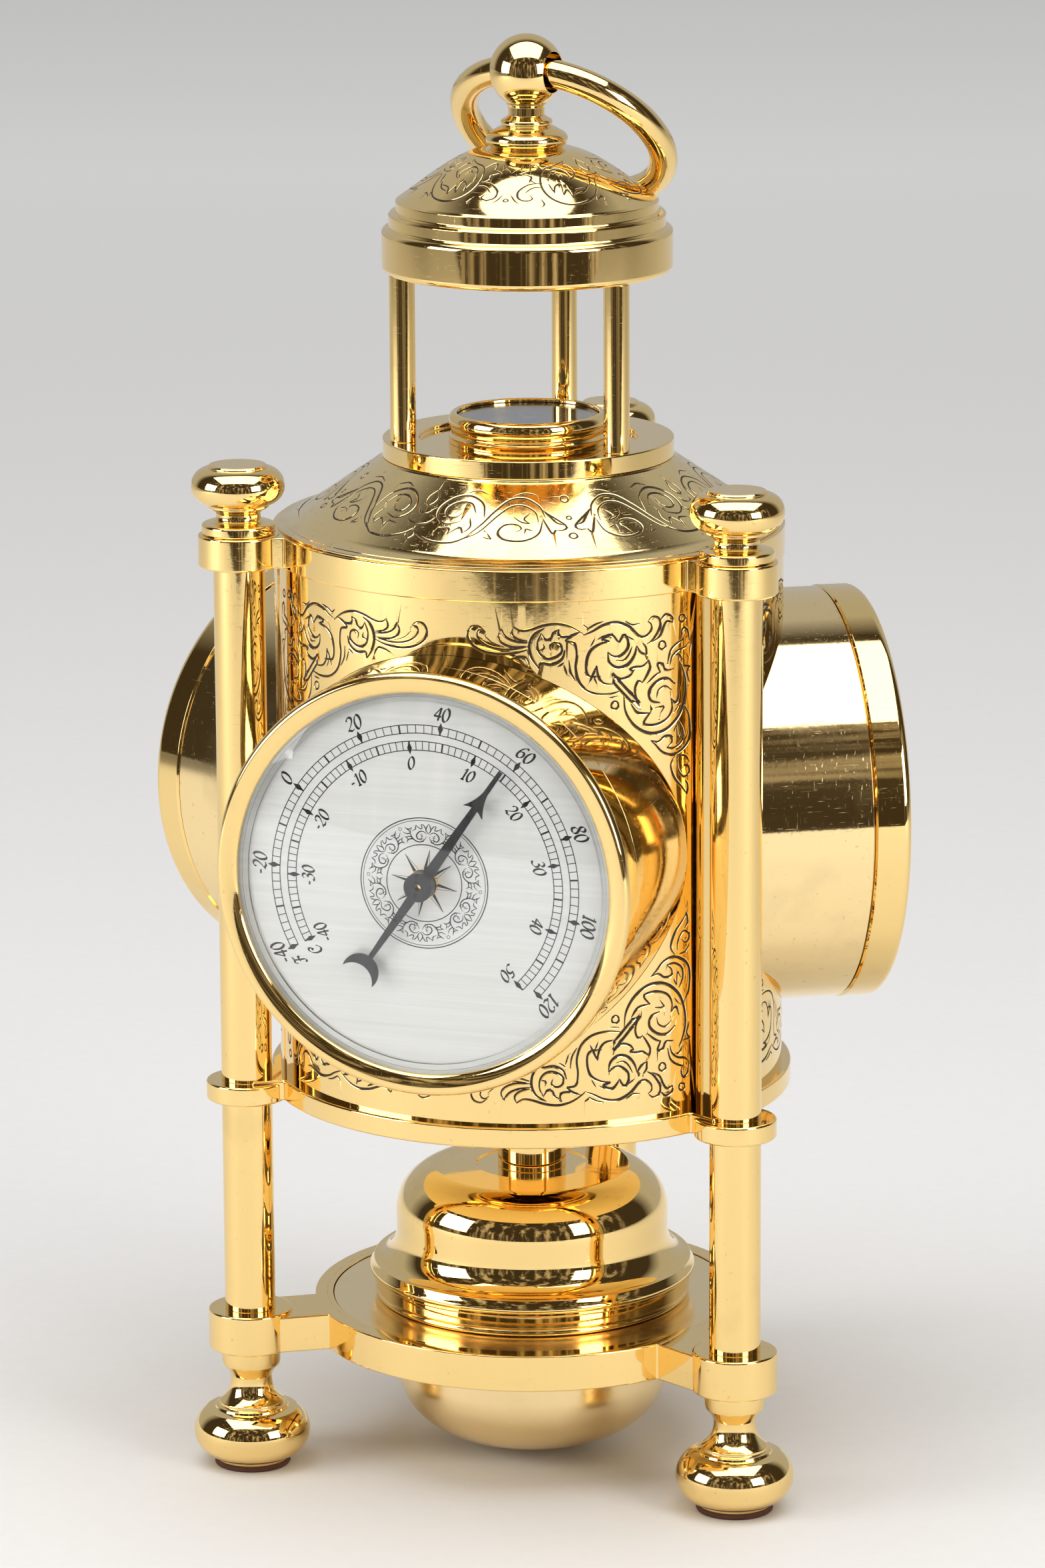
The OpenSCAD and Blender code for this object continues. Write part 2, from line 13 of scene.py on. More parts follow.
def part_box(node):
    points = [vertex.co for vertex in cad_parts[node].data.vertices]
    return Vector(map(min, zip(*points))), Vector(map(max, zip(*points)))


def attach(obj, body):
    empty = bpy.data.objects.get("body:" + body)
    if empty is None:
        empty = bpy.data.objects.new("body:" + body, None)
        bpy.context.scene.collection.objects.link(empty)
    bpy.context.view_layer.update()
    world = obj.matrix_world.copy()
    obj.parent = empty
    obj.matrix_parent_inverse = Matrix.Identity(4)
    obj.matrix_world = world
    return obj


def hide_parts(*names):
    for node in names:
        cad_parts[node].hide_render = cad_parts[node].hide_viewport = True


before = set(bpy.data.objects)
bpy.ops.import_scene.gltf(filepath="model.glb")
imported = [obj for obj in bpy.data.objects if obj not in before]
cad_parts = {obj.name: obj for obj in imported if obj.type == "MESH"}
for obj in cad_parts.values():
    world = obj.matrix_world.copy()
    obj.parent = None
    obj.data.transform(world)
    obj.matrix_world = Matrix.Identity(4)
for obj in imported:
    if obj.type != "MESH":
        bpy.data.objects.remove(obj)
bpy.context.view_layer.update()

MM = 0.001


# ---- dimensions, read from the frame where a node gives them -------------------------------

def low(node, axis=2):
    """Lowest coordinate of a CAD node, in millimetres."""
    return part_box(node)[0][axis] / MM


def high(node, axis=2):
    """Highest coordinate of a CAD node, in millimetres."""
    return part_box(node)[1][axis] / MM


PILLARS = {"left": -150, "right": -30, "back": 90}
DIAL_TURN = -1.2
DIALS = {"thermometer": -90 + DIAL_TURN, "clock": 30 + DIAL_TURN, "barometer": 150 + DIAL_TURN}
PANELS = {"front": -90 + DIAL_TURN, "right": 30 + DIAL_TURN, "left": 150 + DIAL_TURN}

pillar_r = (high("foot_back", 1) + low("foot_back", 1)) / 2
dial_z = (high("thermometer_bezel") + low("thermometer_bezel")) / 2
body_z0 = low("panel_front")
body_z1 = high("panel_front")
panel_r = 46.7
roof_z = low("roof")
roof_top = high("roof")
canopy_z = low("canopy")
canopy_top = high("canopy")
rod_r = 2.5
rod_hole_r = rod_r + 0.1


# ---- materials -----------------------------------------------------------------------------

class Nodes:
    """A short way to build one material's node tree."""

    def __init__(self, name):
        self.material = bpy.data.materials.new(name)
        self.material.use_nodes = True
        self.tree = self.material.node_tree
        self.shader = self.tree.nodes["Principled BSDF"]
        self.output = self.tree.nodes["Material Output"]
        self.place = self.add("ShaderNodeTexCoord").outputs["Object"]

    def add(self, kind, **settings):
        node = self.tree.nodes.new(kind)
        for key, value in settings.items():
            setattr(node, key, value)
        return node

    def link(self, a, b):
        self.tree.links.new(a, b)

    def stretched(self, scale):
        node = self.add("ShaderNodeMapping")
        node.inputs["Scale"].default_value = scale
        self.link(self.place, node.inputs["Vector"])
        return node.outputs["Vector"]

    def noise(self, scale, detail=3.0, rough=0.55, vector=None, distortion=0.0):
        node = self.add("ShaderNodeTexNoise")
        node.inputs["Scale"].default_value = scale
        node.inputs["Detail"].default_value = detail
        node.inputs["Roughness"].default_value = rough
        node.inputs["Distortion"].default_value = distortion
        self.link(vector or self.place, node.inputs["Vector"])
        return node.outputs["Fac"]

    def ramp(self, value, low_at, high_at, low_value=0.0, high_value=1.0):
        node = self.add("ShaderNodeMapRange", clamp=True)
        node.inputs["From Min"].default_value = low_at
        node.inputs["From Max"].default_value = high_at
        node.inputs["To Min"].default_value = low_value
        node.inputs["To Max"].default_value = high_value
        self.link(value, node.inputs["Value"])
        return node.outputs["Result"]

    def math(self, operation, a, b):
        node = self.add("ShaderNodeMath", operation=operation)
        for socket, value in zip(node.inputs, (a, b)):
            if isinstance(value, (int, float)):
                socket.default_value = value
            else:
                self.link(value, socket)
        return node.outputs[0]

    def blend(self, factor, a, b):
        node = self.add("ShaderNodeMix", data_type="RGBA")
        self.link(factor, node.inputs[0])
        for socket, value in ((node.inputs[6], a), (node.inputs[7], b)):
            if isinstance(value, tuple):
                socket.default_value = (*value, 1)
            else:
                self.link(value, socket)
        return node.outputs[2]

    def bump(self, height, strength, distance, normal=None):
        node = self.add("ShaderNodeBump")
        node.inputs["Strength"].default_value = strength
        node.inputs["Distance"].default_value = distance
        self.link(height, node.inputs["Height"])
        if normal:
            self.link(normal, node.inputs["Normal"])
        return node.outputs["Normal"]

    def set(self, **values):
        for key, value in values.items():
            socket = self.shader.inputs[key.replace("_", " ")]
            if isinstance(value, (int, float)):
                socket.default_value = value
            elif isinstance(value, tuple):
                socket.default_value = (*value, 1)
            else:
                self.link(value, socket)
        return self.material


def gilt(name, tint, worn, shine, patina, grain=0.02):
    """Gold plate: smudged sheen, specks of tarnish, hairline scratches."""
    n = Nodes(name)
    clouds = n.noise(38, 4, 0.6)
    specks = n.noise(900, 2, 0.5)
    blotch = n.ramp(clouds, 0.62 - patina * 0.35, 0.80 - patina * 0.2)
    spots = n.ramp(specks, 0.70 - patina * 0.12, 0.78 - patina * 0.06)
    mask = n.math("MULTIPLY", n.math("MAXIMUM", blotch, spots), min(1.0, 0.25 + patina))
    colour = n.blend(mask, tint, worn)
    hair = n.noise(60, 2, 0.7, n.stretched((4, 4, 90)))
    hair_b = n.noise(60, 2, 0.7, n.stretched((70, 18, 5)))
    scratches = n.ramp(n.math("MAXIMUM", hair, hair_b), 0.66, 0.75)
    rough = n.math("ADD", n.ramp(n.noise(14, 3), 0.35, 0.75, shine, shine + 0.05),
                   n.math("MULTIPLY", n.math("MAXIMUM", mask, scratches), 0.16 + patina * 0.3))
    waves = n.bump(n.noise(26, 1.0, 0.4), 0.05, 0.0006)
    fine = n.bump(n.math("ADD", specks, n.math("MULTIPLY", scratches, -1.0)), grain, 0.00008, waves)
    return n.set(Base_Color=colour, Metallic=1.0, Roughness=rough, Normal=fine)


def satin(name, tint, worn):
    """Brushed gold plate with a soft sheen."""
    n = Nodes(name)
    lines = n.noise(60, 3, 0.6, n.stretched((6, 6, 120)))
    mask = n.ramp(n.noise(45, 4, 0.6), 0.55, 0.8, 0.0, 0.5)
    rough = n.ramp(lines, 0.3, 0.7, 0.17, 0.26)
    normal = n.bump(lines, 0.05, 0.0001)
    return n.set(Base_Color=n.blend(mask, tint, worn), Metallic=1.0, Roughness=rough, Normal=normal)


def ink(name, colour, rough):
    """Print, lacquer or patina with a slightly mottled surface."""
    n = Nodes(name)
    mottle = n.noise(700, 3, 0.6)
    tone = n.blend(n.ramp(mottle, 0.35, 0.7), colour, tuple(c * 1.7 + 0.004 for c in colour))
    return n.set(Base_Color=tone, Roughness=n.ramp(mottle, 0.3, 0.7, rough, rough + 0.12),
                 Normal=n.bump(mottle, 0.1, 0.00005))


def silvered(name):
    """Silvered dial with a fine level grain."""
    n = Nodes(name)
    grain = n.noise(420, 3, 0.7, n.stretched((0.06, 0.06, 3.0)))
    cloud = n.noise(30, 2)
    tone = n.blend(n.ramp(grain, 0.3, 0.7), (0.72, 0.72, 0.705), (0.80, 0.80, 0.79))
    rough = n.ramp(cloud, 0.3, 0.7, 0.34, 0.42)
    return n.set(Base_Color=tone, Metallic=0.28, Roughness=rough,
                 Normal=n.bump(grain, 0.12, 0.00004))


def steel(name):
    """Bright drawn steel."""
    n = Nodes(name)
    lines = n.noise(300, 2, 0.6, n.stretched((1, 1, 8)))
    return n.set(Base_Color=n.blend(lines, (0.50, 0.51, 0.53), (0.62, 0.63, 0.65)), Metallic=1.0,
                 Roughness=n.ramp(lines, 0.3, 0.7, 0.22, 0.34), Normal=n.bump(lines, 0.1, 0.00005))


def felt(name):
    """Matted brown felt."""
    n = Nodes(name)
    fibres = n.noise(900, 5, 0.75)
    tone = n.blend(fibres, (0.055, 0.020, 0.012), (0.16, 0.065, 0.04))
    return n.set(Base_Color=tone, Roughness=n.ramp(fibres, 0.3, 0.7, 0.85, 1.0),
                 Normal=n.bump(fibres, 0.9, 0.0004))


def crystal(name):
    """Clear mineral glass that lets lamps through, with faint smears."""
    n = Nodes(name)
    smear = n.noise(60, 3, 0.6)
    n.set(Base_Color=(0.985, 0.99, 0.985), Transmission_Weight=1.0, IOR=1.46,
          Roughness=n.ramp(smear, 0.5, 0.8, 0.0, 0.03))
    clear = n.add("ShaderNodeBsdfTransparent")
    clear.inputs["Color"].default_value = (0.97, 0.975, 0.97, 1)
    path = n.add("ShaderNodeLightPath")
    mix = n.add("ShaderNodeMixShader")
    n.link(path.outputs["Is Shadow Ray"], mix.inputs[0])
    n.link(n.shader.outputs[0], mix.inputs[1])
    n.link(clear.outputs[0], mix.inputs[2])
    n.link(mix.outputs[0], n.output.inputs["Surface"])
    return n.material


GOLD_TINT = (0.98, 0.715, 0.30)
WORN_TINT = (0.44, 0.30, 0.12)
mirror = gilt("polished_gilt", GOLD_TINT, WORN_TINT, 0.028, 0.05)
drum_gilt = gilt("drum_gilt", (1.0, 0.77, 0.39), (0.62, 0.47, 0.24), 0.04, 0.30, 0.05)
aged = gilt("aged_gilt", (0.95, 0.73, 0.34), (0.42, 0.31, 0.14), 0.06, 0.32, 0.08)
satin_gilt = satin("satin_gilt", (0.98, 0.77, 0.42), (0.80, 0.58, 0.27))
patina = ink("patina", (0.016, 0.009, 0.004), 0.5)
dial_silver = silvered("silvered_dial")
dial_ink = ink("dial_ink", (0.006, 0.006, 0.007), 0.55)
hand_black = ink("black_hand", (0.016, 0.016, 0.018), 0.26)
card_dark = ink("compass_card", (0.035, 0.038, 0.045), 0.5)
needle_blue = ink("blued_needle", (0.02, 0.03, 0.10), 0.3)
moulded = ink("movement_case", (0.02, 0.02, 0.02), 0.5)
bright_steel = steel("steel")
pad_felt = felt("felt")
glass = crystal("crystal")


# ---- mesh building -------------------------------------------------------------------------

def mesh_piece(name, positions, normals, faces, materials, slots=None):
    """One mesh object from millimetre points with their own normals; equal points are welded."""
    positions = np.asarray(positions, float)
    normals = np.asarray(normals, float)
    key = np.round(np.hstack([positions * 2000, normals * 300])).astype(np.int64)
    _, first, index = np.unique(key, axis=0, return_index=True, return_inverse=True)
    index = index.ravel()
    kept, kept_slots = [], []
    for i, face in enumerate(faces):
        ring = [int(index[v]) for v in face]
        ring = [v for k, v in enumerate(ring) if v != ring[k - 1]]
        if len(set(ring)) > 2 and len(set(ring)) == len(ring):
            kept.append(ring)
            kept_slots.append(slots[i] if slots is not None else 0)
    mesh = bpy.data.meshes.new(name)
    mesh.from_pydata((positions[first] * MM).tolist(), [], kept)
    for material in materials:
        mesh.materials.append(material)
    mesh.polygons.foreach_set("use_smooth", [True] * len(kept))
    mesh.polygons.foreach_set("material_index", kept_slots)
    lengths = np.linalg.norm(normals, axis=1, keepdims=True)
    mesh.normals_split_custom_set_from_vertices((normals / lengths)[first].tolist())
    piece = bpy.data.objects.new(name, mesh)
    bpy.context.scene.collection.objects.link(piece)
    return piece


def arc(cx, cy, rx, ry, a0, a1, n=12):
    """Points along an ellipse's arc."""
    angles = [math.radians(a0 + (a1 - a0) * i / n) for i in range(n + 1)]
    return [(cx + rx * math.cos(a), cy + ry * math.sin(a)) for a in angles]


def bezier(p0, p1, p2, p3, n=14):
    """Points along a cubic curve."""
    found = []
    for i in range(n + 1):
        t = i / n
        s = 1 - t
        weights = (s ** 3, 3 * s * s * t, 3 * s * t * t, t ** 3)
        found.append(tuple(
            sum(w * p[k] for w, p in zip(weights, (p0, p1, p2, p3))) for k in (0, 1)))
    return found


def soften(points, radius=0.22, steps=3, closed=False, sharp=24):
    """Rounds an outline's corners. Gives (x, y, normal x, normal y) for each point; the normal is
    to the right of the way the outline runs."""
    clean = [points[0]]
    for p in points[1:]:
        if math.dist(p, clean[-1]) > 1e-4:
            clean.append(p)
    if closed and math.dist(clean[0], clean[-1]) < 1e-4:
        clean.pop()
    found = []
    count = len(clean)
    for i, p in enumerate(clean):
        before = clean[i - 1] if closed or i > 0 else None
        after = clean[(i + 1) % count] if closed or i < count - 1 else None
        ways = []
        for a, b in ((before, p), (p, after)):
            if a is None or b is None:
                ways.append(None)
                continue
            length = math.dist(a, b)
            ways.append(((b[0] - a[0]) / length, (b[1] - a[1]) / length, length))
        if ways[0] is None or ways[1] is None:
            way = ways[0] or ways[1]
            found.append((*p, way[1], -way[0]))
            continue
        (ux, uy, ul), (vx, vy, vl) = ways
        turn = math.atan2(ux * vy - uy * vx, ux * vx + uy * vy)
        if abs(math.degrees(turn)) < sharp:
            nx, ny = uy * ul + vy * vl, -ux * ul - vx * vl
            size = math.hypot(nx, ny)
            found.append((*p, nx / size, ny / size))
            continue
        reach = min(radius * math.tan(min(abs(turn), 2.8) / 2), 0.45 * ul, 0.45 * vl)
        round_r = reach / math.tan(min(abs(turn), 2.8) / 2)
        side = math.copysign(1, turn)
        sx, sy = p[0] - ux * reach, p[1] - uy * reach
        start = math.atan2(-ux, uy)
        cx = sx - math.cos(start) * round_r * side
        cy = sy - math.sin(start) * round_r * side
        for k in range(steps + 1):
            a = start + turn * k / steps
            nx, ny = math.cos(a), math.sin(a)
            found.append((cx + nx * round_r * side, cy + ny * round_r * side, nx, ny))
    return found


class Build:
    """Collects points, normals and faces of one piece."""

    def __init__(self):
        self.positions, self.normals, self.faces, self.slots = [], [], [], []

    def add(self, positions, normals, faces, slots=None, matrix=None):
        base = sum(len(p) for p in self.positions)
        positions = np.asarray(positions, float)
        normals = np.asarray(normals, float)
        if matrix is not None:
            m = np.array(matrix)
            positions = positions @ m[:3, :3].T + m[:3, 3]
            normals = normals @ m[:3, :3].T
        self.positions.append(positions)
        self.normals.append(normals)
        self.faces += [[base + v for v in face] for face in faces]
        self.slots += list(slots) if slots is not None else [0] * len(faces)
        return self

    def turned(self, outline, segments=128, matrix=None, radius=0.22, slot=0):
        """Solid of revolution about Z of an outline that runs from the bottom to the top."""
        rows = outline if radius is None else soften(outline, radius)
        turns = np.radians(np.arange(segments) * 360 / segments)
        c, s = np.cos(turns), np.sin(turns)
        positions, normals = [], []
        for r, z, nr, nz in rows:
            positions.append(np.stack([r * c, r * s, np.full(segments, z)], 1))
            normals.append(np.stack([nr * c, nr * s, np.full(segments, nz)], 1))
            if abs(r) < 1e-6:
                normals[-1][:] = (0, 0, math.copysign(1, nz))
        faces = []
        for i in range(len(rows) - 1):
            for j in range(segments):
                k = (j + 1) % segments
                faces.append([i * segments + j, i * segments + k,
                              (i + 1) * segments + k, (i + 1) * segments + j])
        return self.add(np.concatenate(positions), np.concatenate(normals), faces,
                        [slot] * len(faces), matrix)

    def piece(self, name, *materials):
        return mesh_piece(name, np.concatenate(self.positions), np.concatenate(self.normals),
                          self.faces, materials, self.slots)


def at_pillar(angle):
    a = math.radians(angle)
    return Matrix.Translation((pillar_r * math.cos(a), pillar_r * math.sin(a), 0))


def at_dial(angle):
    """Lays +Z along a dial's outward axis, with +Y up."""
    return (Matrix.Translation((0, 0, dial_z)) @ Matrix.Rotation(math.radians(angle + 90), 4, "Z")
            @ Matrix.Rotation(math.radians(90), 4, "X"))


def stands_for(piece, node, body="frame"):
    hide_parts(node)
    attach(piece, body)
    return piece


def lathe(name, outline, node, segments=96, matrix=None, radius=0.22, material=mirror,
          body="frame"):
    """A turned piece that stands for a CAD node."""
    piece = Build().turned(outline, segments, matrix, radius).piece(name, material)
    return stands_for(piece, node, body)


def lugs(build, r, z0, z1):
    """A round clamp at every pillar."""
    for angle in PILLARS.values():
        build.turned([(0, z0), (r, z0), (r, z1), (0, z1)], 96, at_pillar(angle), 0.45)


def plate_outline(radius, arm_half, reach, corner=0.4):
    """A round plate's outline with an arm towards each pillar, run anticlockwise."""
    at = math.degrees(math.asin(arm_half / radius))
    points = []
    for a in sorted(PILLARS.values()):
        turn = math.radians(a)
        for x, y in ((reach, -arm_half), (reach, arm_half)):
            points.append((x * math.cos(turn) - y * math.sin(turn),
                           x * math.sin(turn) + y * math.cos(turn)))
        points += arc(0, 0, radius, radius, a + at, a + 120 - at, 60)
    return soften(points, corner, 4, closed=True)


def plate(build, outline, z0, z1, inner, edge=0.3):
    """A flat plate of the outline, with a turned inner wall that runs from its top to its bottom."""
    side = soften([(-3, z0), (0, z0), (0, z1), (-3, z1)], edge, 4)[1:-1]
    count = len(outline)
    positions, normals = [], []
    for offset, z, out, up in side:
        for x, y, nx, ny in outline:
            positions.append((x + nx * offset, y + ny * offset, z))
            normals.append((nx * out, ny * out, up))
    faces = []
    for i in range(len(side) - 1):
        for j in range(count):
            k = (j + 1) % count
            faces.append([i * count + j, i * count + k, (i + 1) * count + k, (i + 1) * count + j])
    build.add(positions, normals, faces)
    segments = 144
    for row, z, up, hole in ((0, z0, -1, inner[-1][0]), (len(side) - 1, z1, 1, inner[0][0])):
        ring = [(p[0], p[1]) for p in positions[row * count:(row + 1) * count]]
        rim = arc(0, 0, hole, hole, 0, 360, segments)[:-1]
        points = [Vector(p) for p in ring + rim]
        edges = [(j, (j + 1) % count) for j in range(count)]
        edges += [(count + j, count + (j + 1) % segments) for j in range(segments)]
        verts, _, tris, _, _, _ = delaunay_2d_cdt(points, edges, [], 1, 1e-5)
        kept = []
        for tri in tris:
            x = sum(verts[v][0] for v in tri) / len(tri)
            y = sum(verts[v][1] for v in tri) / len(tri)
            if math.hypot(x, y) > hole * 0.999:
                kept.append(list(tri) if up > 0 else list(reversed(tri)))
        build.add([(v[0], v[1], z) for v in verts], [(0, 0, up)] * len(verts), kept)
    return build.turned(inner, segments, radius=0.15)


# ---- pillars -------------------------------------------------------------------------------

def tube_outline(r_out, r_in, z0, z1):
    return [(r_in, z0), (r_out, z0), (r_out, z1), (r_in, z1), (r_in, z0)]


pad_t = high("felt_pads")
lug_low_z0, lug_low_z1 = low("base_ring"), high("base_ring")
lug_mid_z0, lug_mid_z1 = low("body_base"), low("upper_tube_left")
lug_top_z1 = high("top_plate")
knob_top = high("knob_left")

foot_outline = (
    [(0, pad_t), (6.8, pad_t), (7.0, 1.6)]
    + arc(5.9, 6.5, 4.95, 5, -74, 58, 30)
    + [(7.9, 10.8), (6.9, 11.0), (6.7, 11.5), (6.1, 11.7)]
    + arc(8.9, 16.6, 5.05, 5.2, -124, -180, 12)
    + [(3.85, 17.2), (4.3, 18.2), (5.3, 19.4), (5.5, 20.2), (5.5, lug_low_z0), (0, lug_low_z0)])
knob_outline = (
    [(0, lug_top_z1), (6.5, lug_top_z1), (6.7, lug_top_z1 + 0.3)]
    + arc(6.15, lug_top_z1 + 1.45, 0.55, 0.55, 0, 90, 8)
    + arc(5.6, 180.5, 1.55, 1.25, 262, 180, 8)
    + [(4.05, 181.0), (4.6, 181.6), (5.3, 181.9), (5.6, 182.2), (5.6, 182.6)]
    + arc(5.2, 186, 3.35, 3.4, -74, 78, 30)
    + [(5.45, 189.3), (5.45, 189.6), (5.1, knob_top), (0, knob_top)])

pillar_tube_r = 4.7
lower_tube = tube_outline(pillar_tube_r, rod_hole_r, lug_low_z1, lug_mid_z0)
upper_tube = tube_outline(pillar_tube_r, rod_hole_r, lug_mid_z1, body_z1)
for side, angle in PILLARS.items():
    spot = at_pillar(angle)
    lathe(f"turned_foot_{side}", foot_outline, f"foot_{side}", 96, spot)
    lathe(f"turned_knob_{side}", knob_outline, f"knob_{side}", 96, spot)
    lathe(f"pillar_lower_{side}", lower_tube, f"lower_tube_{side}", 96, spot, 0.12)
    lathe(f"pillar_upper_{side}", upper_tube, f"upper_tube_{side}", 96, spot, 0.12)

pads = Build()
for angle in PILLARS.values():
    pads.turned([(0, 0), (6.9, 0), (7.1, 0.3), (7.0, 0.8), (6.85, pad_t), (0, pad_t)], 64,
                at_pillar(angle), 0.2)
stands_for(pads.piece("felt_feet", pad_felt), "felt_pads")

# ---- base ----------------------------------------------------------------------------------

base_ring_z, ring_top_z, ledge_z = 22.9, 29.7, 25.9
disc_top = high("base_disc")

ring = Build()
plate(ring, plate_outline(40.9, 6.5, pillar_r), base_ring_z, ring_top_z,
      [(38.6, ring_top_z), (37.5, ring_top_z), (37.5, ledge_z), (27, ledge_z),
       (27, base_ring_z), (28, base_ring_z)])
lugs(ring, 7.8, lug_low_z0, lug_low_z1)
stands_for(ring.piece("ring_plate", mirror), "base_ring")

lathe("inlaid_disc", tube_outline(37.35, rod_hole_r, ledge_z, disc_top), "base_disc", 160,
      radius=0.15, material=satin_gilt)

bell_top = high("bell")
bell_outline = (
    [(28, disc_top), (28.6, disc_top)]
    + arc(28.7, disc_top + 0.8, 0.75, 0.75, -80, 80, 10)
    + [(29.6, disc_top + 1.75), (29.6, 33.5), (30.2, 33.8)]
    + arc(29.75, 34.95, 0.75, 0.85, -50, 50, 6)
    + [(29.9, 36.2), (29.7, 36.7)]
    + arc(29.7, 42.3, 4.25, 5.6, -90, -180, 18)
    + arc(16.9, 45.6, 8.6, 8.7, 0, 82, 24)
    + [(10.5, bell_top), (10.2, bell_top - 0.25), (rod_hole_r, bell_top - 0.25),
       (rod_hole_r, bell_top - 1.55), (15.5, bell_top - 1.55)]
    + arc(16.2, 45.6, 8, 7.2, 80, 0, 10)
    + [(24.2, 43), (24.6, 40), (26.5, 36.5), (28, 33.5), (28, disc_top)])
lathe("bell_foot", bell_outline, "bell", 176, radius=0.18)

bowl_outline = (
    [(rod_hole_r, 2.6), (4.2, 2.6), (4.2, low("bowl"))]
    + arc(9.4, 15, 16, 13, -88, 0, 26)
    + [(25.4, ledge_z), (24.1, ledge_z)]
    + arc(9.2, 15, 14.9, 11.7, 0, -88, 16)
    + [(6.4, 3.0), (6.1, 3.9), (rod_hole_r, 3.9), (rod_hole_r, 2.6)])
lathe("counterweight_bowl", bowl_outline, "bowl", 160, radius=0.2, material=satin_gilt)

post = tube_outline(6.4, rod_hole_r, bell_top - 0.25, low("body_base") + 0.3)
lathe("stem", post, "centre_post", radius=0.15)

# ---- body ----------------------------------------------------------------------------------

body_base_z = 71.3
lower_plate = Build()
plate(lower_plate, plate_outline(48.4, 5.5, pillar_r), body_base_z, body_z0,
      [(8, body_z0), (3, body_z0), (3, body_base_z), (8, body_base_z)], 0.45)
lugs(lower_plate, 7.5, lug_mid_z0, lug_mid_z1)
stands_for(lower_plate.piece("body_floor", mirror), "body_base")

upper_plate = Build()
plate(upper_plate, plate_outline(46.95, 5.25, pillar_r), body_z1, roof_z,
      [(24, roof_z), (22, roof_z), (22, body_z1), (24, body_z1)], 0.3)
lugs(upper_plate, 7.4, body_z1, lug_top_z1)
stands_for(upper_plate.piece("body_lid", mirror), "top_plate")

# ---- lantern -------------------------------------------------------------------------------

lantern_z1 = 192.7
lantern_ring = [(13.5, roof_top), (26.65, roof_top), (26.65, lantern_z1), (19.9, lantern_z1),
                (19.9, lantern_z1 - 0.9), (13.5, lantern_z1 - 0.9), (13.5, roof_top)]
lathe("lantern_base", lantern_ring, "lantern_ring", 144, radius=0.3)

post_circle_r, post_r = 23.3, 2.37
posts = Build()
for angle in PILLARS.values():
    a = math.radians(angle)
    spot = Matrix.Translation((post_circle_r * math.cos(a), post_circle_r * math.sin(a), 0))
    posts.turned([(0, lantern_z1), (post_r, lantern_z1), (post_r, canopy_z), (0, canopy_z)],
                 64, spot, 0.15)
stands_for(posts.piece("lantern_pillars", mirror), "lantern_posts")


def torus_rows(ring_r, wire_r, n=28):
    """A full circle's outline with exact normals."""
    angles = [2 * math.pi * i / n - math.pi for i in range(n + 1)]
    return [(ring_r + wire_r * math.cos(a), wire_r * math.sin(a), math.cos(a), math.sin(a))
            for a in angles]


ball_z, ball_r, bore_r = 259.35, 6.7, 3.7
ring_turn, ring_lean, ring_r, ring_wire_r, ring_drop = -12, 47.6, 19.2, 2.6, 0.4
finial_outline = (
    [(0, 242.4), (rod_r, 242.4), (rod_r, canopy_top), (6.5, canopy_top)]
    + arc(5.6, 247.1, 1.85, 1.55, -60, 70, 14)
    + [(5.2, 249.2), (4.4, 249.4)]
    + arc(4.15, 250.1, 0.52, 0.65, -60, 60, 6)
    + [(3.9, 250.9), (3.27, 251.4), (3.27, 252.9), (3.6, 253.4), (3.6, 254.2), (0, 254.2)])
bore_angle = math.degrees(math.acos(bore_r / ball_r))
ball_outline = (arc(0, 0, ball_r, ball_r, -bore_angle, bore_angle, 36)
                + [(bore_r, -ball_r * math.sin(math.radians(bore_angle)))])
at_ball = Matrix.Rotation(math.radians(ring_turn), 4, "Z") @ Matrix.Translation((0, 0, ball_z))
finial = Build().turned(finial_outline, 96, radius=0.12)
finial.turned(ball_outline + ball_outline[:1], 96,
              at_ball @ Matrix.Rotation(math.radians(90), 4, "Y"), 0.3)
stands_for(finial.piece("bored_finial", mirror), "finial")

hang = (at_ball @ Matrix.Rotation(math.radians(ring_lean), 4, "X")
        @ Matrix.Translation((0, 0, ring_drop - ring_r)) @ Matrix.Rotation(math.radians(90), 4, "X"))
lathe("carrying_ring", torus_rows(ring_r, ring_wire_r), "ring_handle", 144, hang, None, body="ring")

# ---- compass -------------------------------------------------------------------------------

case_r, compass_r = 13.4, 14.56
recess_z = lantern_z1 - 0.9
rim_outline = (
    [(case_r + 0.1, recess_z), (compass_r, recess_z), (compass_r, recess_z + 1.2),
     (14.0, recess_z + 1.7), (14.0, recess_z + 2.2)]
    + arc(13.45, 195.6, 1.1, 1.65, -60, 90, 16)
    + arc(13.45, 196.9, 0.5, 0.35, 90, 180, 4)
    + [(12.95, 196.55), (case_r + 0.1, 196.55), (case_r + 0.1, recess_z)])
lathe("compass_rim", rim_outline, "compass_bezel", 144, radius=0.12)
glass_outline = [(0, 195.72), (12.9, 195.72), (12.9, 196.5), (0, 196.5)]
lathe("compass_window", glass_outline, "compass_glass", radius=0.1, material=glass)

# ---- instruments ---------------------------------------------------------------------------

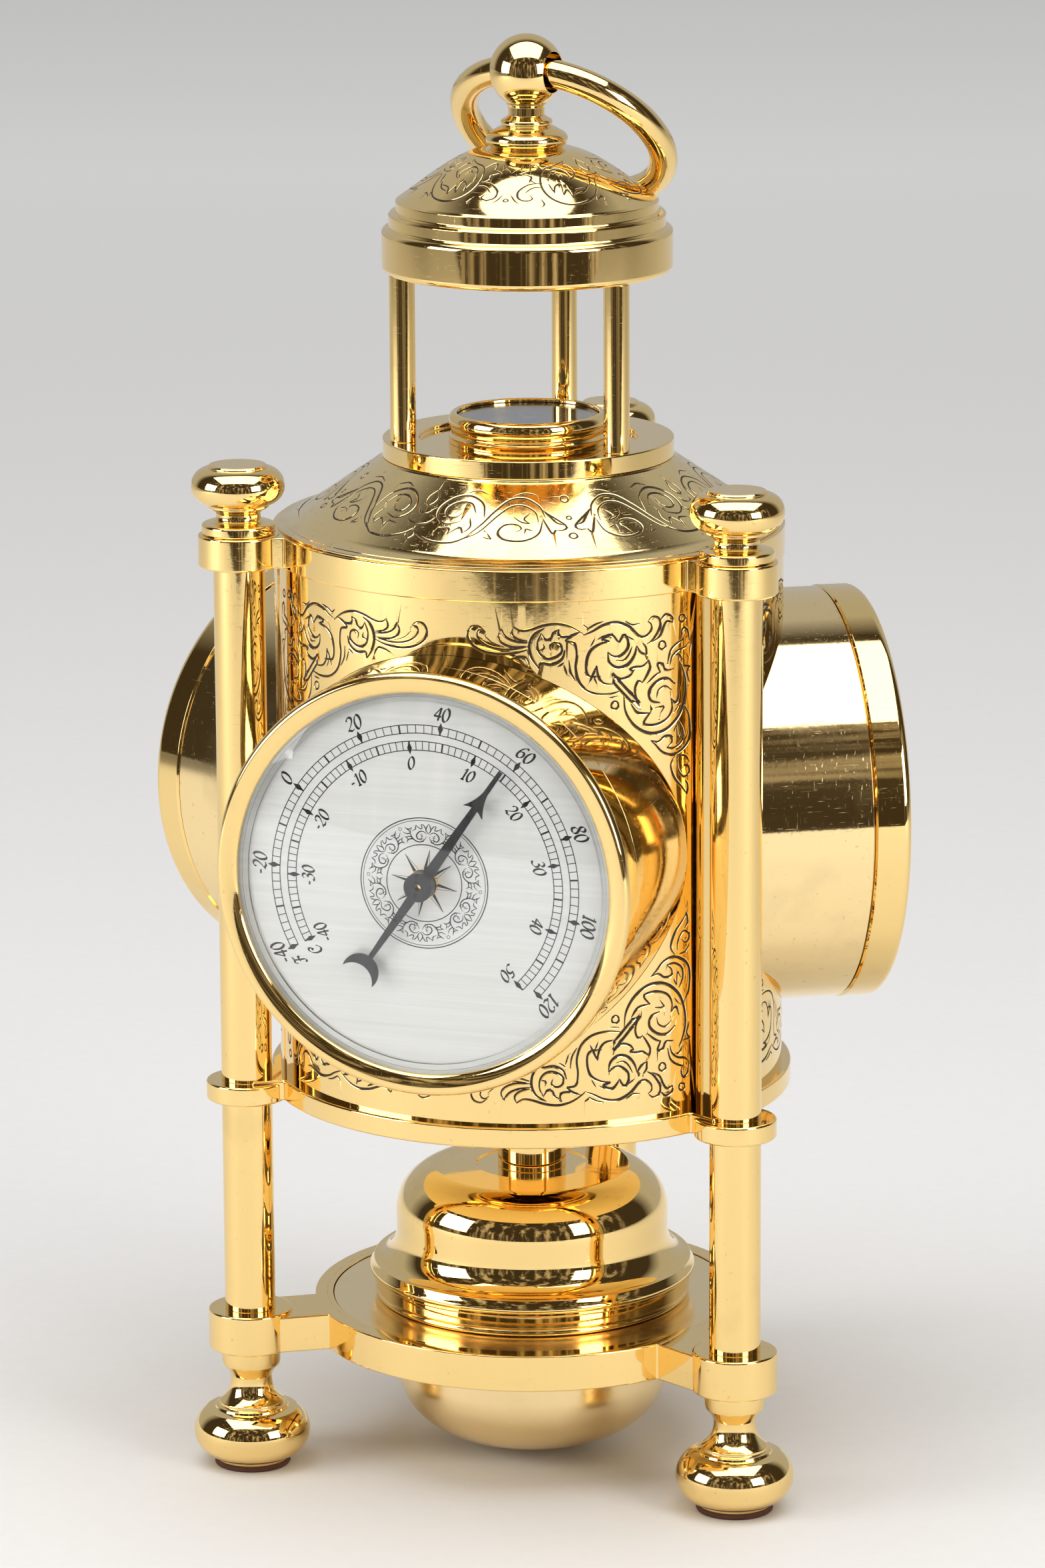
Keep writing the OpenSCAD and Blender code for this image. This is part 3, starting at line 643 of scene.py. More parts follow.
drum_end, dial_face, bezel_front = 55.7, 59.9, 62.8
crystal_edge, crystal_top, crystal_t = 61.5, 65.8, 0.9
drum_r, bezel_r, dial_r, crystal_r, lip_r = 38.3, 38.5, 36.4, 35.8, 34.6
drum_outline = tube_outline(drum_r, drum_r - 1.5, 25, drum_end)
bezel_outline = (
    [(drum_r - 1.6, 52.5), (drum_r - 1.6, drum_end + 0.3), (bezel_r - 0.4, drum_end + 0.3),
     (bezel_r, drum_end + 0.7)]
    + arc(bezel_r - 1.1, bezel_front - 1.5, 1.1, 1.5, 0, 90, 14)
    + arc(bezel_r - 1.1, bezel_front - 1.2, bezel_r - 1.1 - lip_r, 1.2, 90, 180, 14)
    + [(lip_r, crystal_edge), (crystal_r + 0.05, crystal_edge),
       (crystal_r + 0.05, dial_face + 0.05), (drum_r - 1.6, dial_face + 0.05)])


def dome(top, hole_r):
    """The crystal's dome, from its rim in to its hole."""
    rise = crystal_top - crystal_edge
    ball = (lip_r ** 2 + rise ** 2) / (2 * rise)
    reach = lip_r - 0.2
    steps = [reach + (hole_r - reach) * i / 24 for i in range(25)]
    return [(x, top - ball + math.sqrt(ball * ball - x * x)) for x in steps]


def crystal_outline(hole_r):
    """A domed glass whose rim stands on the dial."""
    points = [(crystal_r - 2.9, dial_face + 0.05), (crystal_r, dial_face + 0.05),
              (crystal_r, crystal_edge - 0.05), (lip_r, crystal_edge - 0.05)]
    points += dome(crystal_top, hole_r) + dome(crystal_top - crystal_t, hole_r)[::-1]
    return points + [(crystal_r - 2.9, crystal_edge - 0.95), points[0]]


for name, angle in DIALS.items():
    spot = at_dial(angle)
    lathe(f"{name}_barrel", drum_outline, f"{name}_drum", 176, spot, 0.12, drum_gilt)
    lathe(f"{name}_rim", bezel_outline, f"{name}_bezel", 176, spot, 0.15)
    hole = 1.06 if name == "barometer" else 0.0
    lathe(f"{name}_glass", crystal_outline(hole), f"{name}_crystal", 128, spot, 0.1, glass)

# ---- drawn lines: engraving and dial print --------------------------------------------------

def spline(points, step):
    """Points along a smooth curve through the given ones, about step apart."""
    if len(points) == 2:
        (ax, ay), (bx, by) = points
        n = max(1, round(math.dist(*points) / step))
        return [(ax + (bx - ax) * i / n, ay + (by - ay) * i / n) for i in range(n + 1)]
    ends = [tuple(2 * a - b for a, b in zip(points[0], points[1]))]
    ends += points + [tuple(2 * a - b for a, b in zip(points[-1], points[-2]))]
    found = []
    for p0, p1, p2, p3 in zip(ends, ends[1:], ends[2:], ends[3:]):
        n = max(2, round(math.dist(p1, p2) / step))
        for i in range(n):
            t = i / n
            found.append(tuple(
                0.5 * (2 * b + (c - a) * t + (2 * a - 5 * b + 4 * c - d) * t * t
                       + (3 * b - a - 3 * c + d) * t ** 3)
                for a, b, c, d in zip(p0, p1, p2, p3)))
    return found + [points[-1]]


def drawn(text):
    """Reads lines such as '0.2 1,4 3,5 / 3,5 2,7': a half width, then points; a slash is a corner.
    An indented line carries on the one above."""
    found = []
    for line in text.strip().replace("\n    ", " ").splitlines():
        width, *rest = line.split()
        stroke = []
        for word in rest + ["/"]:
            if word == "/":
                found.append((float(width), stroke))
                stroke = stroke[-1:]
            else:
                stroke.append(tuple(float(v) for v in word.split(",")))
    return [(w, s) for w, s in found if len(s) > 1]


def ring_stroke(x, y, r, width, n=20):
    return (width, arc(x, y, r, r, 0, 360, n))


class Engraving:
    """Grooves in a flat layout: sampled centre lines with tapering half widths."""

    SHOULDER = 1.9     # width of the rounded shoulder, in half widths of the dark cut
    DEPTH = 0.8        # depth of the cut, in half widths

    def __init__(self, strokes, step=0.42):
        self.lines = []
        for width, points in strokes:
            closed = math.dist(points[0], points[-1]) < 1e-6
            samples = points if closed else spline(points, step)
            n = len(samples) - 1
            widths = [width * (1 if closed else 0.3 + 0.7 * math.sin(math.pi * i / n) ** 0.6)
                      for i in range(n + 1)]
            self.lines.append((np.array(samples), np.array(widths), closed))
        self.a = np.concatenate([s[:-1] for s, _, _ in self.lines])
        self.b = np.concatenate([s[1:] for s, _, _ in self.lines])
        self.wa = np.concatenate([w[:-1] for _, w, _ in self.lines])
        self.wb = np.concatenate([w[1:] for _, w, _ in self.lines])

    def guides(self):
        """The centre line and two lines on each side of every stroke."""
        for samples, widths, closed in self.lines:
            way = np.gradient(samples, axis=0)
            if closed:
                way[0] = way[-1] = samples[1] - samples[-2]
            way /= np.maximum(np.linalg.norm(way, axis=1, keepdims=True), 1e-9)
            across = np.stack([-way[:, 1], way[:, 0]], 1) * widths[:, None]
            for share in (0, 1, -1, self.SHOULDER, -self.SHOULDER):
                yield samples + across * share

    def depth(self, points):
        """Depth, its slope and how far out in the groove each point is, from 0 to 1."""
        points = np.asarray(points, float)
        depth = np.zeros(len(points))
        slope = np.zeros((len(points), 2))
        place = np.ones(len(points))
        along = self.b - self.a
        size = np.maximum((along ** 2).sum(1), 1e-12)
        for start in range(0, len(points), 400):
            p = points[start:start + 400, None, :]
            t = (((p - self.a) * along).sum(2) / size).clip(0, 1)
            off = p - (self.a + along * t[..., None])
            far = np.sqrt((off ** 2).sum(2))
            half = self.wa + (self.wb - self.wa) * t
            s = (far / (half * self.SHOULDER)).clip(0, 1)
            deep = self.DEPTH * half * (1 - 3 * s ** 2 + 2 * s ** 3)
            best = deep.argmax(1)
            rows = np.arange(len(best))
            s, half, far = s[rows, best], half[rows, best], far[rows, best]
            off = off[rows, best] / np.maximum(far, 1e-9)[:, None]
            depth[start:start + 400] = deep[rows, best]
            place[start:start + 400] = s
            slope[start:start + 400] = off * (
                -self.DEPTH * 6 * s * (1 - s) / self.SHOULDER)[:, None]
        return depth, slope, place


def loose_edges(tris):
    """The edges that only one triangle uses, in its own direction."""
    edges = {}
    for a, b, c in tris:
        for e in ((a, b), (b, c), (c, a)):
            edges[e] = True
    return [e for e in edges if (e[1], e[0]) not in edges]


SPANDREL = drawn("""
0.20 6.8,5.0 5.7,4.2 4.4,4.5 3.8,5.8 4.4,7.4 6.4,8.7 9.2,9.2 12.2,9.0 14.7,8.3
0.16 7.1,5.4 6.2,4.9 5.5,5.6 6.0,6.8 7.7,7.9 10.6,8.4 13.8,8.1
0.10 6.9,6.0 8.3,7.2 10.4,8.0
0.18 14.4,7.9 11.8,7.9 9.9,7.1 9.3,6.0 9.8,4.8 / 9.8,4.8 10.7,6.1 12.4,6.9 14.6,7.2
0.18 14.5,6.9 12.8,6.5 11.7,5.5 12.1,4.3 / 12.1,4.3 13.3,5.0 15.0,4.8 17.2,4.1 19.6,3.8 21.8,4.3
    23.6,5.3 24.6,6.1
0.24 17.4,4.6 15.6,5.7 14.8,7.6 15.1,9.8 16.5,12.0
0.22 16.5,12.0 16.8,10.9 18.8,11.1 20.5,10.2 21.1,8.6
0.20 16.9,5.5 16.2,7.2 16.5,9.0 17.7,10.0 19.2,9.9 20.5,8.9 20.3,7.6 19.3,7.2 18.4,7.7 18.6,8.6
0.17 16.9,5.5 17.7,6.7 18.6,6.4 19.0,5.4 20.0,4.9 / 20.0,4.9 20.1,6.0 21.6,6.2 22.8,5.8
0.12 16.4,8.6 17.4,8.2 17.2,7.4
0.20 21.2,6.9 22.2,6.1 23.6,5.5 / 21.2,6.9 22.8,7.4 23.2,9.5 23.0,12.1 23.8,14.8 25.8,16.5 28.6,17.0
    31.5,16.6
0.22 27.6,13.7 25.3,13.4 24.9,11.2 25.6,9.0 27.4,7.8 29.2,7.5 / 29.2,7.5 27.9,6.9 29.6,6.3 31.0,7.8
    / 31.0,7.8 31.9,6.5 32.7,7.4 32.6,9.0 31.2,10.2 29.9,10.2 28.9,9.4
0.24 28.9,9.4 29.2,11.2 30.7,12.3 32.6,11.9 33.9,10.4 34.4,8.7
0.14 30.4,11.0 31.8,11.1 32.8,10.2 33.5,8.8
0.18 25.5,14.6 26.8,11.8 / 26.8,11.8 27.2,13.8 28.2,15.0 29.9,15.3
0.12 26.2,13.4 26.9,15.1
0.11 25.7,8.2 26.5,6.8
0.11 27.0,7.0 28.2,6.3
0.22 24.6,6.0 26.1,5.4 28.1,4.4 30.6,4.1 33.0,5.1 34.9,6.9 36.2,7.1 37.3,6.1 37.3,5.0 36.6,4.5
0.12 32.6,6.8 33.9,7.6
0.18 34.4,8.7 35.2,9.9 36.4,10.5 / 36.4,10.5 36.3,9.2 35.6,8.3
0.20 36.8,4.3 37.7,3.7 38.9,4.1 39.2,5.3 38.6,6.7 37.5,8.0 36.5,8.6
0.20 39.2,4.5 40.4,3.6 41.7,4.2 41.8,5.2 / 41.8,5.2 40.6,4.9 39.8,5.9 39.0,7.5 37.5,8.3
0.14 24.4,4.2 25.3,4.9 / 25.3,4.9 26.6,4.2 28.0,3.8
0.14 32.2,4.0 33.5,4.8 35.0,4.7
0.20 29.8,13.3 31.3,14.4 33.0,14.0 33.7,13.2 / 33.7,13.2 33.1,12.8 34.2,12.5 35.6,12.5 36.8,11.6 /
    36.8,11.6 37.1,12.8 36.3,14.4 35.5,15.5
0.20 35.5,15.5 34.7,15.1 34.1,16.3 34.3,18.0 35.1,19.2 / 29.8,13.3 30.0,15.0 31.9,17.1 33.4,18.7
    35.1,19.2
0.12 30.7,14.8 32.4,16.2 33.0,17.4
0.25 31.9,17.5 32.3,20.5 34.1,23.2 37.0,24.8 40.2,24.6 43.0,22.5 44.3,19.7 44.7,16.6 44.0,13.9 43.2,12.4
0.24 42.4,16.5 40.6,15.2 38.4,15.6 36.9,17.2 37.3,18.9 39.1,19.5
0.15 41.6,17.5 40.2,16.6 38.8,17.2 38.4,18.5
0.18 36.5,15.7 38.2,14.4 39.2,14.0 / 39.2,14.0 38.6,12.4 39.7,12.5 40.3,13.7 42.0,13.7
0.20 33.3,19.2 34.6,20.8 37.0,21.2 / 37.0,21.2 35.8,22.9 38.3,23.4 40.7,22.5 41.7,20.7 41.4,19.0
0.18 41.4,19.0 42.6,19.9 43.2,18.2
0.13 38.0,20.4 39.9,20.3 39.1,21.6
0.12 42.2,21.6 43.2,20.4
0.18 45.5,9.0 45.1,7.0 44.2,6.5 43.7,7.6 44.0,8.6 / 44.0,8.6 42.5,9.3 41.3,10.4 40.7,12.4
0.17 45.5,9.2 44.6,10.0 43.0,10.4 41.7,11.4 41.2,12.8
0.16 43.9,12.3 43.3,11.2 42.4,11.2
0.16 44.1,13.3 45.7,13.7 / 45.7,13.7 45.0,14.6 45.5,16.6
0.22 44.3,20.5 45.4,22.6 45.7,25.4 45.2,27.4 43.8,28.7 41.7,29.3 39.7,28.6 38.2,27.1 37.2,26.2
0.18 37.2,26.2 38.8,26.6 40.0,25.8 41.5,25.9 41.6,27.0 40.6,27.9 / 40.6,27.9 42.2,28.1 43.8,27.1
    44.1,25.3 43.2,23.4
0.13 42.0,25.2 42.7,23.9 / 42.9,26.3 43.6,25.2
0.19 42.2,29.7 41.4,31.2 42.2,33.6 43.8,35.5 44.9,37.0 / 44.9,37.0 45.2,35.4 44.5,34.3
0.16 42.8,30.4 43.0,32.2 44.2,33.7 45.4,33.2 45.3,31.9 44.5,31.6 43.9,32.2
0.15 43.3,29.6 44.8,30.0 45.5,31.2
0.15 21.8,10.5 22.1,12.7 23.0,14.3
0.13 20.9,11.3 21.5,13.2
0.15 19.8,11.6 20.9,10.9
0.17 11.2,10.3 12.7,9.8 14.1,9.8 14.8,11.2
0.11 29.2,17.7 30.9,17.5
""") + [ring_stroke(30.2, 19.1, 0.68, 0.15), ring_stroke(39.6, 9.1, 0.72, 0.15),
        ring_stroke(43.9, 4.7, 0.66, 0.15)]

ROOF_SCROLL = drawn("""
0.17 26.6,7.6 25.2,8.2 24.1,9.8 22.9,11.4 / 26.6,7.6 26.0,6.4 24.7,6.5 / 24.7,6.5 24.1,5.6 23.3,7.6
    22.7,9.4
0.19 23.2,9.6 22.2,12.5 19.4,14.4 16.2,13.9 13.6,11.0 11.9,8.0 9.9,4.9
0.15 21.9,8.2 21.4,11.0 19.2,12.6 16.6,12.3 14.2,9.8 11.6,5.8 9.4,3.9
0.18 22.6,8.8 21.7,5.6 19.2,3.9 16.2,4.2 14.9,5.9 15.8,7.7 17.8,8.0 18.9,7.0 18.0,6.1
0.13 20.4,10.8 19.3,9.4 20.3,8.2 / 20.3,8.2 18.8,8.6 17.4,9.8
0.13 20.8,6.4 19.6,6.9 / 19.6,6.9 19.4,5.6
0.19 12.0,9.6 11.1,12.9 8.0,14.7 4.8,14.0 2.8,11.6 3.1,9.0 5.2,7.4 7.8,8.2
0.17 10.2,10.5 8.8,12.8 6.2,13.0 4.3,11.4 4.8,9.4 6.6,9.2 7.6,10.4
0.13 9.4,9.2 9.9,7.0 8.9,5.4 / 8.9,5.4 8.1,6.8 6.4,4.9 / 6.4,4.9 6.2,6.4 4.2,6.2
0.19 10.6,5.2 7.8,3.0 4.2,2.8 1.4,4.1 0,5.7
0.15 0,15.5 -1.1,13.6 -0.8,12.2 0,11.4 / 0,11.4 0.8,12.2 1.1,13.6 0,15.5
0.13 1.6,10.8 1.0,9.7 0,9.4
0.14 2.9,8.8 1.9,7.2 0,6.6
0.14 0,5.3 -0.8,4.0 0,2.7 / 0,2.7 0.8,4.0 0,5.3
0.13 22.0,15.2 19.5,15.7 17.0,15.0
0.13 11.6,15.3 9.2,16.1 7.0,15.4
0.12 12.6,4.6 14.0,4.2 / 14.0,4.2 13.2,5.6
""") + [ring_stroke(27.489, 14.1, 0.8, 0.13), ring_stroke(27.489, 4.9, 0.66, 0.13),
        ring_stroke(27.489, 9.4, 0.45, 0.11)]

CANOPY_SCROLL = drawn("""
0.14 12.7,8.2 13.9,9.3 13.6,10.1 15.5,11.0 / 15.5,11.0 13.8,11.8 / 13.8,11.8 13.6,13.5 12.3,13.5
    11.0,12.0
0.15 11.8,8.3 14.2,8.1 16.0,6.4 15.9,4.6 14.7,3.9 13.7,4.5 14.2,5.4
0.12 11.8,7.2 13.6,7.2 15.0,5.8
0.17 4.6,14.3 7.4,13.3 10.4,12.4 11.9,9.9 11.8,6.8 10.4,4.1 8.0,2.7 4.7,3.4 2.4,5.6 0.8,8.2 0,8.9
0.14 4.6,14.3 5.4,13.1 4.4,12.7 4.0,11.0 5.1,9.5 6.4,8.6
0.15 10.4,9.4 9.6,11.4 8.0,12.2 6.5,11.6 5.8,10.2 6.6,8.8
0.12 9.0,10.6 8.0,10.9 7.4,10.2
0.13 10.6,8.2 10.0,5.8 / 10.0,5.8 9.6,7.4 8.4,8.0 8.6,5.2 / 8.6,5.2 7.6,6.5 7.2,4.6 / 7.2,4.6
    6.1,6.2 4.1,6.5
0.14 3.0,7.4 4.6,5.8 6.4,5.2
0.13 1.5,9.2 2.9,7.0
0.14 0,14.4 -1.2,12.9 -1.0,11.6 0,10.6 / 0,10.6 1.0,11.6 1.2,12.9 0,14.4
0.12 1.9,11.3 1.5,9.9 0,9.7
0.11 17.2,11.7 15.7,12.5 / 15.7,12.5 15.3,14.0
0.11 17.1,5.3 16.4,3.9 15.8,3.2
0.11 12.4,4.3 12.0,3.1 12.5,2.2
0.11 3.3,4.4 3.7,3.1 / 2.2,3.9 2.4,2.7
""") + [ring_stroke(17.802, 4.0, 0.36, 0.10)]


# ---- dial prints ---------------------------------------------------------------------------

GLYPHS = {
    "0": ["~.28,1 .12,.86 .04,.5 .12,.14 .28,0 .44,.14 .52,.5 .44,.86 .28,1"],
    "1": ["~.10,.80 .20,.86 .30,1", ".30,1 .30,0", ".16,0 .44,0"],
    "2": ["~.04,.76 .10,.93 .28,1 .44,.91 .46,.70 .34,.44 .14,.19 .02,.04",
          "~.02,.04 .16,.09 .34,.01 .54,.09"],
    "3": ["~.05,.86 .18,1 .38,.95 .42,.74 .22,.56", "~.20,.56 .42,.50 .49,.26 .33,.03 .12,0 .01,.09"],
    "4": [".42,1 .02,.33", ".02,.33 .56,.33", ".44,1 .38,0"],
    "5": [".50,1 .17,.97", ".17,.97 .10,.60", "~.10,.60 .30,.65 .47,.48 .45,.22 .27,.02 .09,0 0,.09"],
    "6": ["~.47,.95 .30,.97 .13,.76 .05,.40 .10,.10 .26,0 .43,.11 .48,.34 .37,.54 .20,.52 .07,.36"],
    "7": ["~.02,.88 .16,.96 .34,.92 .52,1", "~.52,1 .33,.62 .19,0"],
    "8": ["~.27,.54 .11,.70 .12,.91 .28,1 .44,.90 .42,.71 .22,.50 .06,.31 .09,.07 .27,0 .46,.09 "
          ".46,.31 .27,.54"],
    "9": ["~.06,.05 .22,.03 .40,.24 .48,.60 .43,.90 .27,1 .10,.89 .05,.66 .16,.46 .33,.48 .46,.64"],
    "-": [".02,.40 .30,.40"],
    "F": ["~-.08,.10 .05,0 .20,.08 .28,.45 .40,.93", "~.02,.78 .16,.97 .42,.93 .70,1",
          "~.14,.47 .32,.53 .56,.49", "~.56,.49 .54,.60 .58,.38"],
    "C": ["~.58,.72 .62,.92 .46,1 .22,.86 .06,.52 .08,.16 .28,0 .50,.08 .66,.28",
          "~.58,.72 .48,.64 .40,.78"],
}
ADVANCE = {"1": 0.52, "-": 0.40, "F": 0.8, "C": 0.8}
NIB_ANGLE = 38
SLANT = 0.17


def ribbon(build, points, halves, z, thick, matrix, slot=1):
    """A thin raised strip along the points, with a half width at each."""
    points = np.asarray(points, float)
    halves = np.broadcast_to(np.asarray(halves, float), (len(points),))
    way = np.gradient(points, axis=0)
    if math.dist(points[0], points[-1]) < 1e-9:
        way[0] = way[-1] = points[1] - points[-2]
    way /= np.maximum(np.linalg.norm(way, axis=1, keepdims=True), 1e-9)
    side = np.stack([-way[:, 1], way[:, 0]], 1)
    n = len(points)
    rows = [(side, halves, z + thick), (-side, halves, z + thick), (-side, halves, z), (side, halves, z)]
    positions = np.concatenate([
        np.column_stack([points + s * h[:, None], np.full(n, level)]) for s, h, level in rows])
    normals = np.concatenate([
        np.column_stack([s * 0.02, np.full(n, 1.0 if level > z else -1.0)]) for s, h, level in rows])
    faces = []
    for row in range(4):
        other = (row + 1) % 4
        for i in range(n - 1):
            faces.append([row * n + i, other * n + i, other * n + i + 1, row * n + i + 1])
    faces += [[0, 3 * n, 2 * n, n], [n - 1, 2 * n - 1, 3 * n - 1, 4 * n - 1]]
    build.add(positions, normals, faces, [slot] * len(faces), matrix)


def filled(build, points, z, thick, matrix, slot=1):
    """A thin raised convex patch."""
    n = len(points)
    positions = [(x, y, z + thick) for x, y in points] + [(x, y, z) for x, y in points]
    normals = [(0, 0, 1)] * n + [(0, 0, -1)] * n
    faces = [list(range(n)), list(range(2 * n - 1, n - 1, -1))]
    faces += [[i, i + n, (i + 1) % n + n, (i + 1) % n] for i in range(n)]
    build.add(positions, normals, faces, [slot] * len(faces), matrix)


class Print:
    """Ink on a dial: everything is in dial millimetres, raised a little above the silver."""

    THICK = 0.014

    def __init__(self, angle):
        self.build = Build()
        self.matrix = at_dial(angle)

    def line(self, points, halves):
        ribbon(self.build, points, halves, dial_face, self.THICK, self.matrix)

    def patch(self, points):
        filled(self.build, points, dial_face, self.THICK, self.matrix)

    def circle(self, r, half, a0=0.0, a1=360.0, centre=(0, 0)):
        n = max(10, round(abs(a1 - a0) * (0.35 + r / 80)))
        points = arc(*centre, r, r, a0, a1, n)
        if abs(a1 - a0) >= 360:
            points[-1] = points[0]
        self.line(points, half)

    def ray(self, angle, r0, r1, half):
        c, s = math.cos(math.radians(angle)), math.sin(math.radians(angle))
        self.line([(r0 * c, r0 * s), (r1 * c, r1 * s)], half)

    def diamond(self, angle, r0, r1, half):
        c, s = math.cos(math.radians(angle)), math.sin(math.radians(angle))
        m = (r0 + r1) / 2
        self.patch([(r0 * c, r0 * s), (m * c + half * s, m * s - half * c),
                    (r1 * c, r1 * s), (m * c - half * s, m * s + half * c)])

    def ladder(self, r0, r1, angles, thick_every, half=0.08):
        """A railway scale: two arcs with rungs between them, every so many of them thicker."""
        self.circle(r0, half, angles[0], angles[-1])
        self.circle(r1, half, angles[0], angles[-1])
        for i, angle in enumerate(angles):
            self.ray(angle, r0, r1, half * (2.0 if i % thick_every == 0 else 0.9))

    def text(self, words, r, angle, height, upright=False, weight=1.0):
        """Broad-nib numerals, centred at a radius and angle, with their tops outwards."""
        widths = [ADVANCE.get(c, 0.62) * height for c in words]
        pen = -sum(widths) / 2
        a = math.radians(angle)
        cx, cy = r * math.cos(a), r * math.sin(a)
        turn = 0 if upright else a - math.pi / 2
        nib, thin = 0.076 * height * weight, 0.022 * height * weight
        for letter, width in zip(words, widths):
            for stroke in GLYPHS[letter]:
                points = [tuple(float(v) for v in word.split(","))
                          for word in stroke.strip("~").split()]
                if stroke[0] == "~":
                    points = spline(points, 0.045)
                flat = [((x + SLANT * y - 0.04) * height + pen, (y - 0.5) * height)
                        for x, y in points]
                way = np.gradient(np.array(flat), axis=0)
                tilt = np.arctan2(way[:, 1], way[:, 0]) - math.radians(NIB_ANGLE)
                halves = thin + nib * np.abs(np.sin(tilt))
                self.line([(cx + x * math.cos(turn) - y * math.sin(turn),
                            cy + x * math.sin(turn) + y * math.cos(turn)) for x, y in flat], halves)
            pen += width

    def rosette(self):
        """The engraved-looking ring of leaves round an eight-pointed star."""
        for r, half in ((11.8, 0.09), (11.35, 0.05), (6.97, 0.085)):
            self.circle(r, half)
        for k in range(8):
            tip = 35 + 45 * k
            outer, inner = (polar(6.2, tip), polar(1.8, tip))
            self.patch([inner, outer, polar(2.5, tip + 13)])
            self.line([outer, polar(2.5, tip - 13)], 0.035)
            self.line([outer, inner], 0.035)
        for k in range(6):
            middle = 25 + 60 * k
            for half_width, points in LEAF_RING:
                smooth = spline(points, 0.16)
                n = len(smooth) - 1
                halves = [half_width * (0.35 + 0.65 * math.sin(math.pi * i / n)) for i in range(n + 1)]
                for way in (1, -1):
                    bent = [polar(7 + y, middle + way * math.degrees(x / 9.2)) for x, y in smooth]
                    self.line(bent, halves)
            for offset, r in ((7, 7.75), (-7, 7.75), (30, 10.45)):
                self.circle(0.27, 0.045, centre=polar(r, middle + offset))

    def piece(self, name, node, hole_r):
        plate_t = 0.6
        self.build.turned([(hole_r, dial_face - plate_t), (dial_r, dial_face - plate_t),
                           (dial_r, dial_face), (hole_r, dial_face), (hole_r, dial_face - plate_t)],
                          144, self.matrix, 0.05)
        stands_for(self.build.piece(name, dial_silver, dial_ink), node)


def polar(r, angle):
    return (r * math.cos(math.radians(angle)), r * math.sin(math.radians(angle)))


LEAF_RING = drawn("""
0.10 0,3.8 0.34,3.1 0.42,2.6 0,2.0
0.09 0.42,2.7 0.85,3.5 1.25,3.6 / 1.25,3.6 1.1,2.9 1.5,2.9 2.1,3.5 / 2.1,3.5 2.3,2.8 2.9,2.6
0.11 0.25,1.9 0.9,2.35 1.6,2.3 2.25,1.7 2.1,1.05 1.5,0.95 1.2,1.35 1.5,1.6
0.10 0.3,1.5 0.7,0.85 1.6,0.45 2.6,0.7 3.25,1.5 3.3,2.4 2.85,3.2
0.09 2.85,3.2 3.5,3.0 4.0,3.5 / 3.3,2.4 4.0,2.3 4.6,2.9
0.09 2.9,1.0 3.6,1.25 4.5,1.1 / 3.2,1.4 3.9,1.8 4.5,1.7
0.08 4.55,0.75 4.15,1.4 4.6,2.0
0.07 1.0,1.35 1.4,2.0
""")

scale_mid, deg_per_f = 83.4, 1.564


def fahrenheit(t):
    return scale_mid - (t - 40) * deg_per_f


def celsius(t):
    return fahrenheit(32 + 1.8 * t)


p = Print(DIALS["thermometer"])
p.ladder(27.05, 28.55, [fahrenheit(t) for t in range(-40, 122, 2)], 5)
p.ladder(24.0, 25.6, [celsius(t) for t in range(-40, 51)], 5)
for t in range(-40, 140, 20):
    p.diamond(fahrenheit(t), 27.05, 29.35, 0.5)
    p.text(str(t), 30.85, fahrenheit(t), 2.45)
for t in range(-40, 60, 10):
    p.diamond(celsius(t), 23.2, 25.6, 0.45)
    p.text(str(t), 21.7, celsius(t), 2.2)
p.text("F", 28.3, fahrenheit(-40) + 5, 2.2)
p.text("C", 24.7, celsius(-40) + 5, 2.2)
p.rosette()
p.piece("thermometer_face", "thermometer_dial", 0.66)

p = Print(DIALS["clock"])
p.ladder(27.4, 28.9, [90 - 6 * m for m in range(61)], 5)
for hour in range(1, 13):
    p.diamond(90 - 30 * hour, 26.9, 29.4, 0.5)
    p.text(str(hour), 23.0, 90 - 30 * hour, 4.6, upright=True)
p.rosette()
p.piece("clock_face", "clock_dial", 2.41)

p = Print(DIALS["barometer"])
p.ladder(27.05, 28.55, [225 - 2.7 * i for i in range(101)], 10)
for i in range(0, 11):
    p.diamond(225 - 27 * i, 26.85, 28.95, 0.42)
    p.text(str(96 + i), 31.0, 225 - 27 * i, 2.3)
p.ladder(24.0, 25.6, [225 - 4.572 * i * 0.5 for i in range(119)], 10)
for i in range(0, 12):
    p.diamond(225 - 22.86 * i, 23.75, 25.85, 0.42)
    p.text(str(720 + 6 * i) if i % 2 == 0 else "-", 21.6, 225 - 22.86 * i, 1.9)
p.rosette()
p.piece("barometer_face", "barometer_dial", 0.71)

# ---- hands, movements and hidden parts: the CAD shapes with their own finishes -----------------

FINISH = {
    "thermometer_pointer": hand_black, "barometer_pointer": hand_black, "hour_hand": hand_black,
    "minute_hand": hand_black, "set_hand": mirror, "thermometer_arbor": mirror,
    "bimetal_coil": mirror, "thermometer_case": bright_steel, "clock_movement": moulded,
    "aneroid_capsule": bright_steel, "tie_rods": bright_steel, "centre_bolt": bright_steel,
    "compass_case": mirror, "compass_card": card_dark, "compass_needle": needle_blue,
}
for node, material in FINISH.items():
    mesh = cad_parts[node].data
    mesh.materials.clear()
    mesh.materials.append(material)

# ---- engraved skins -----------------------------------------------------------------------

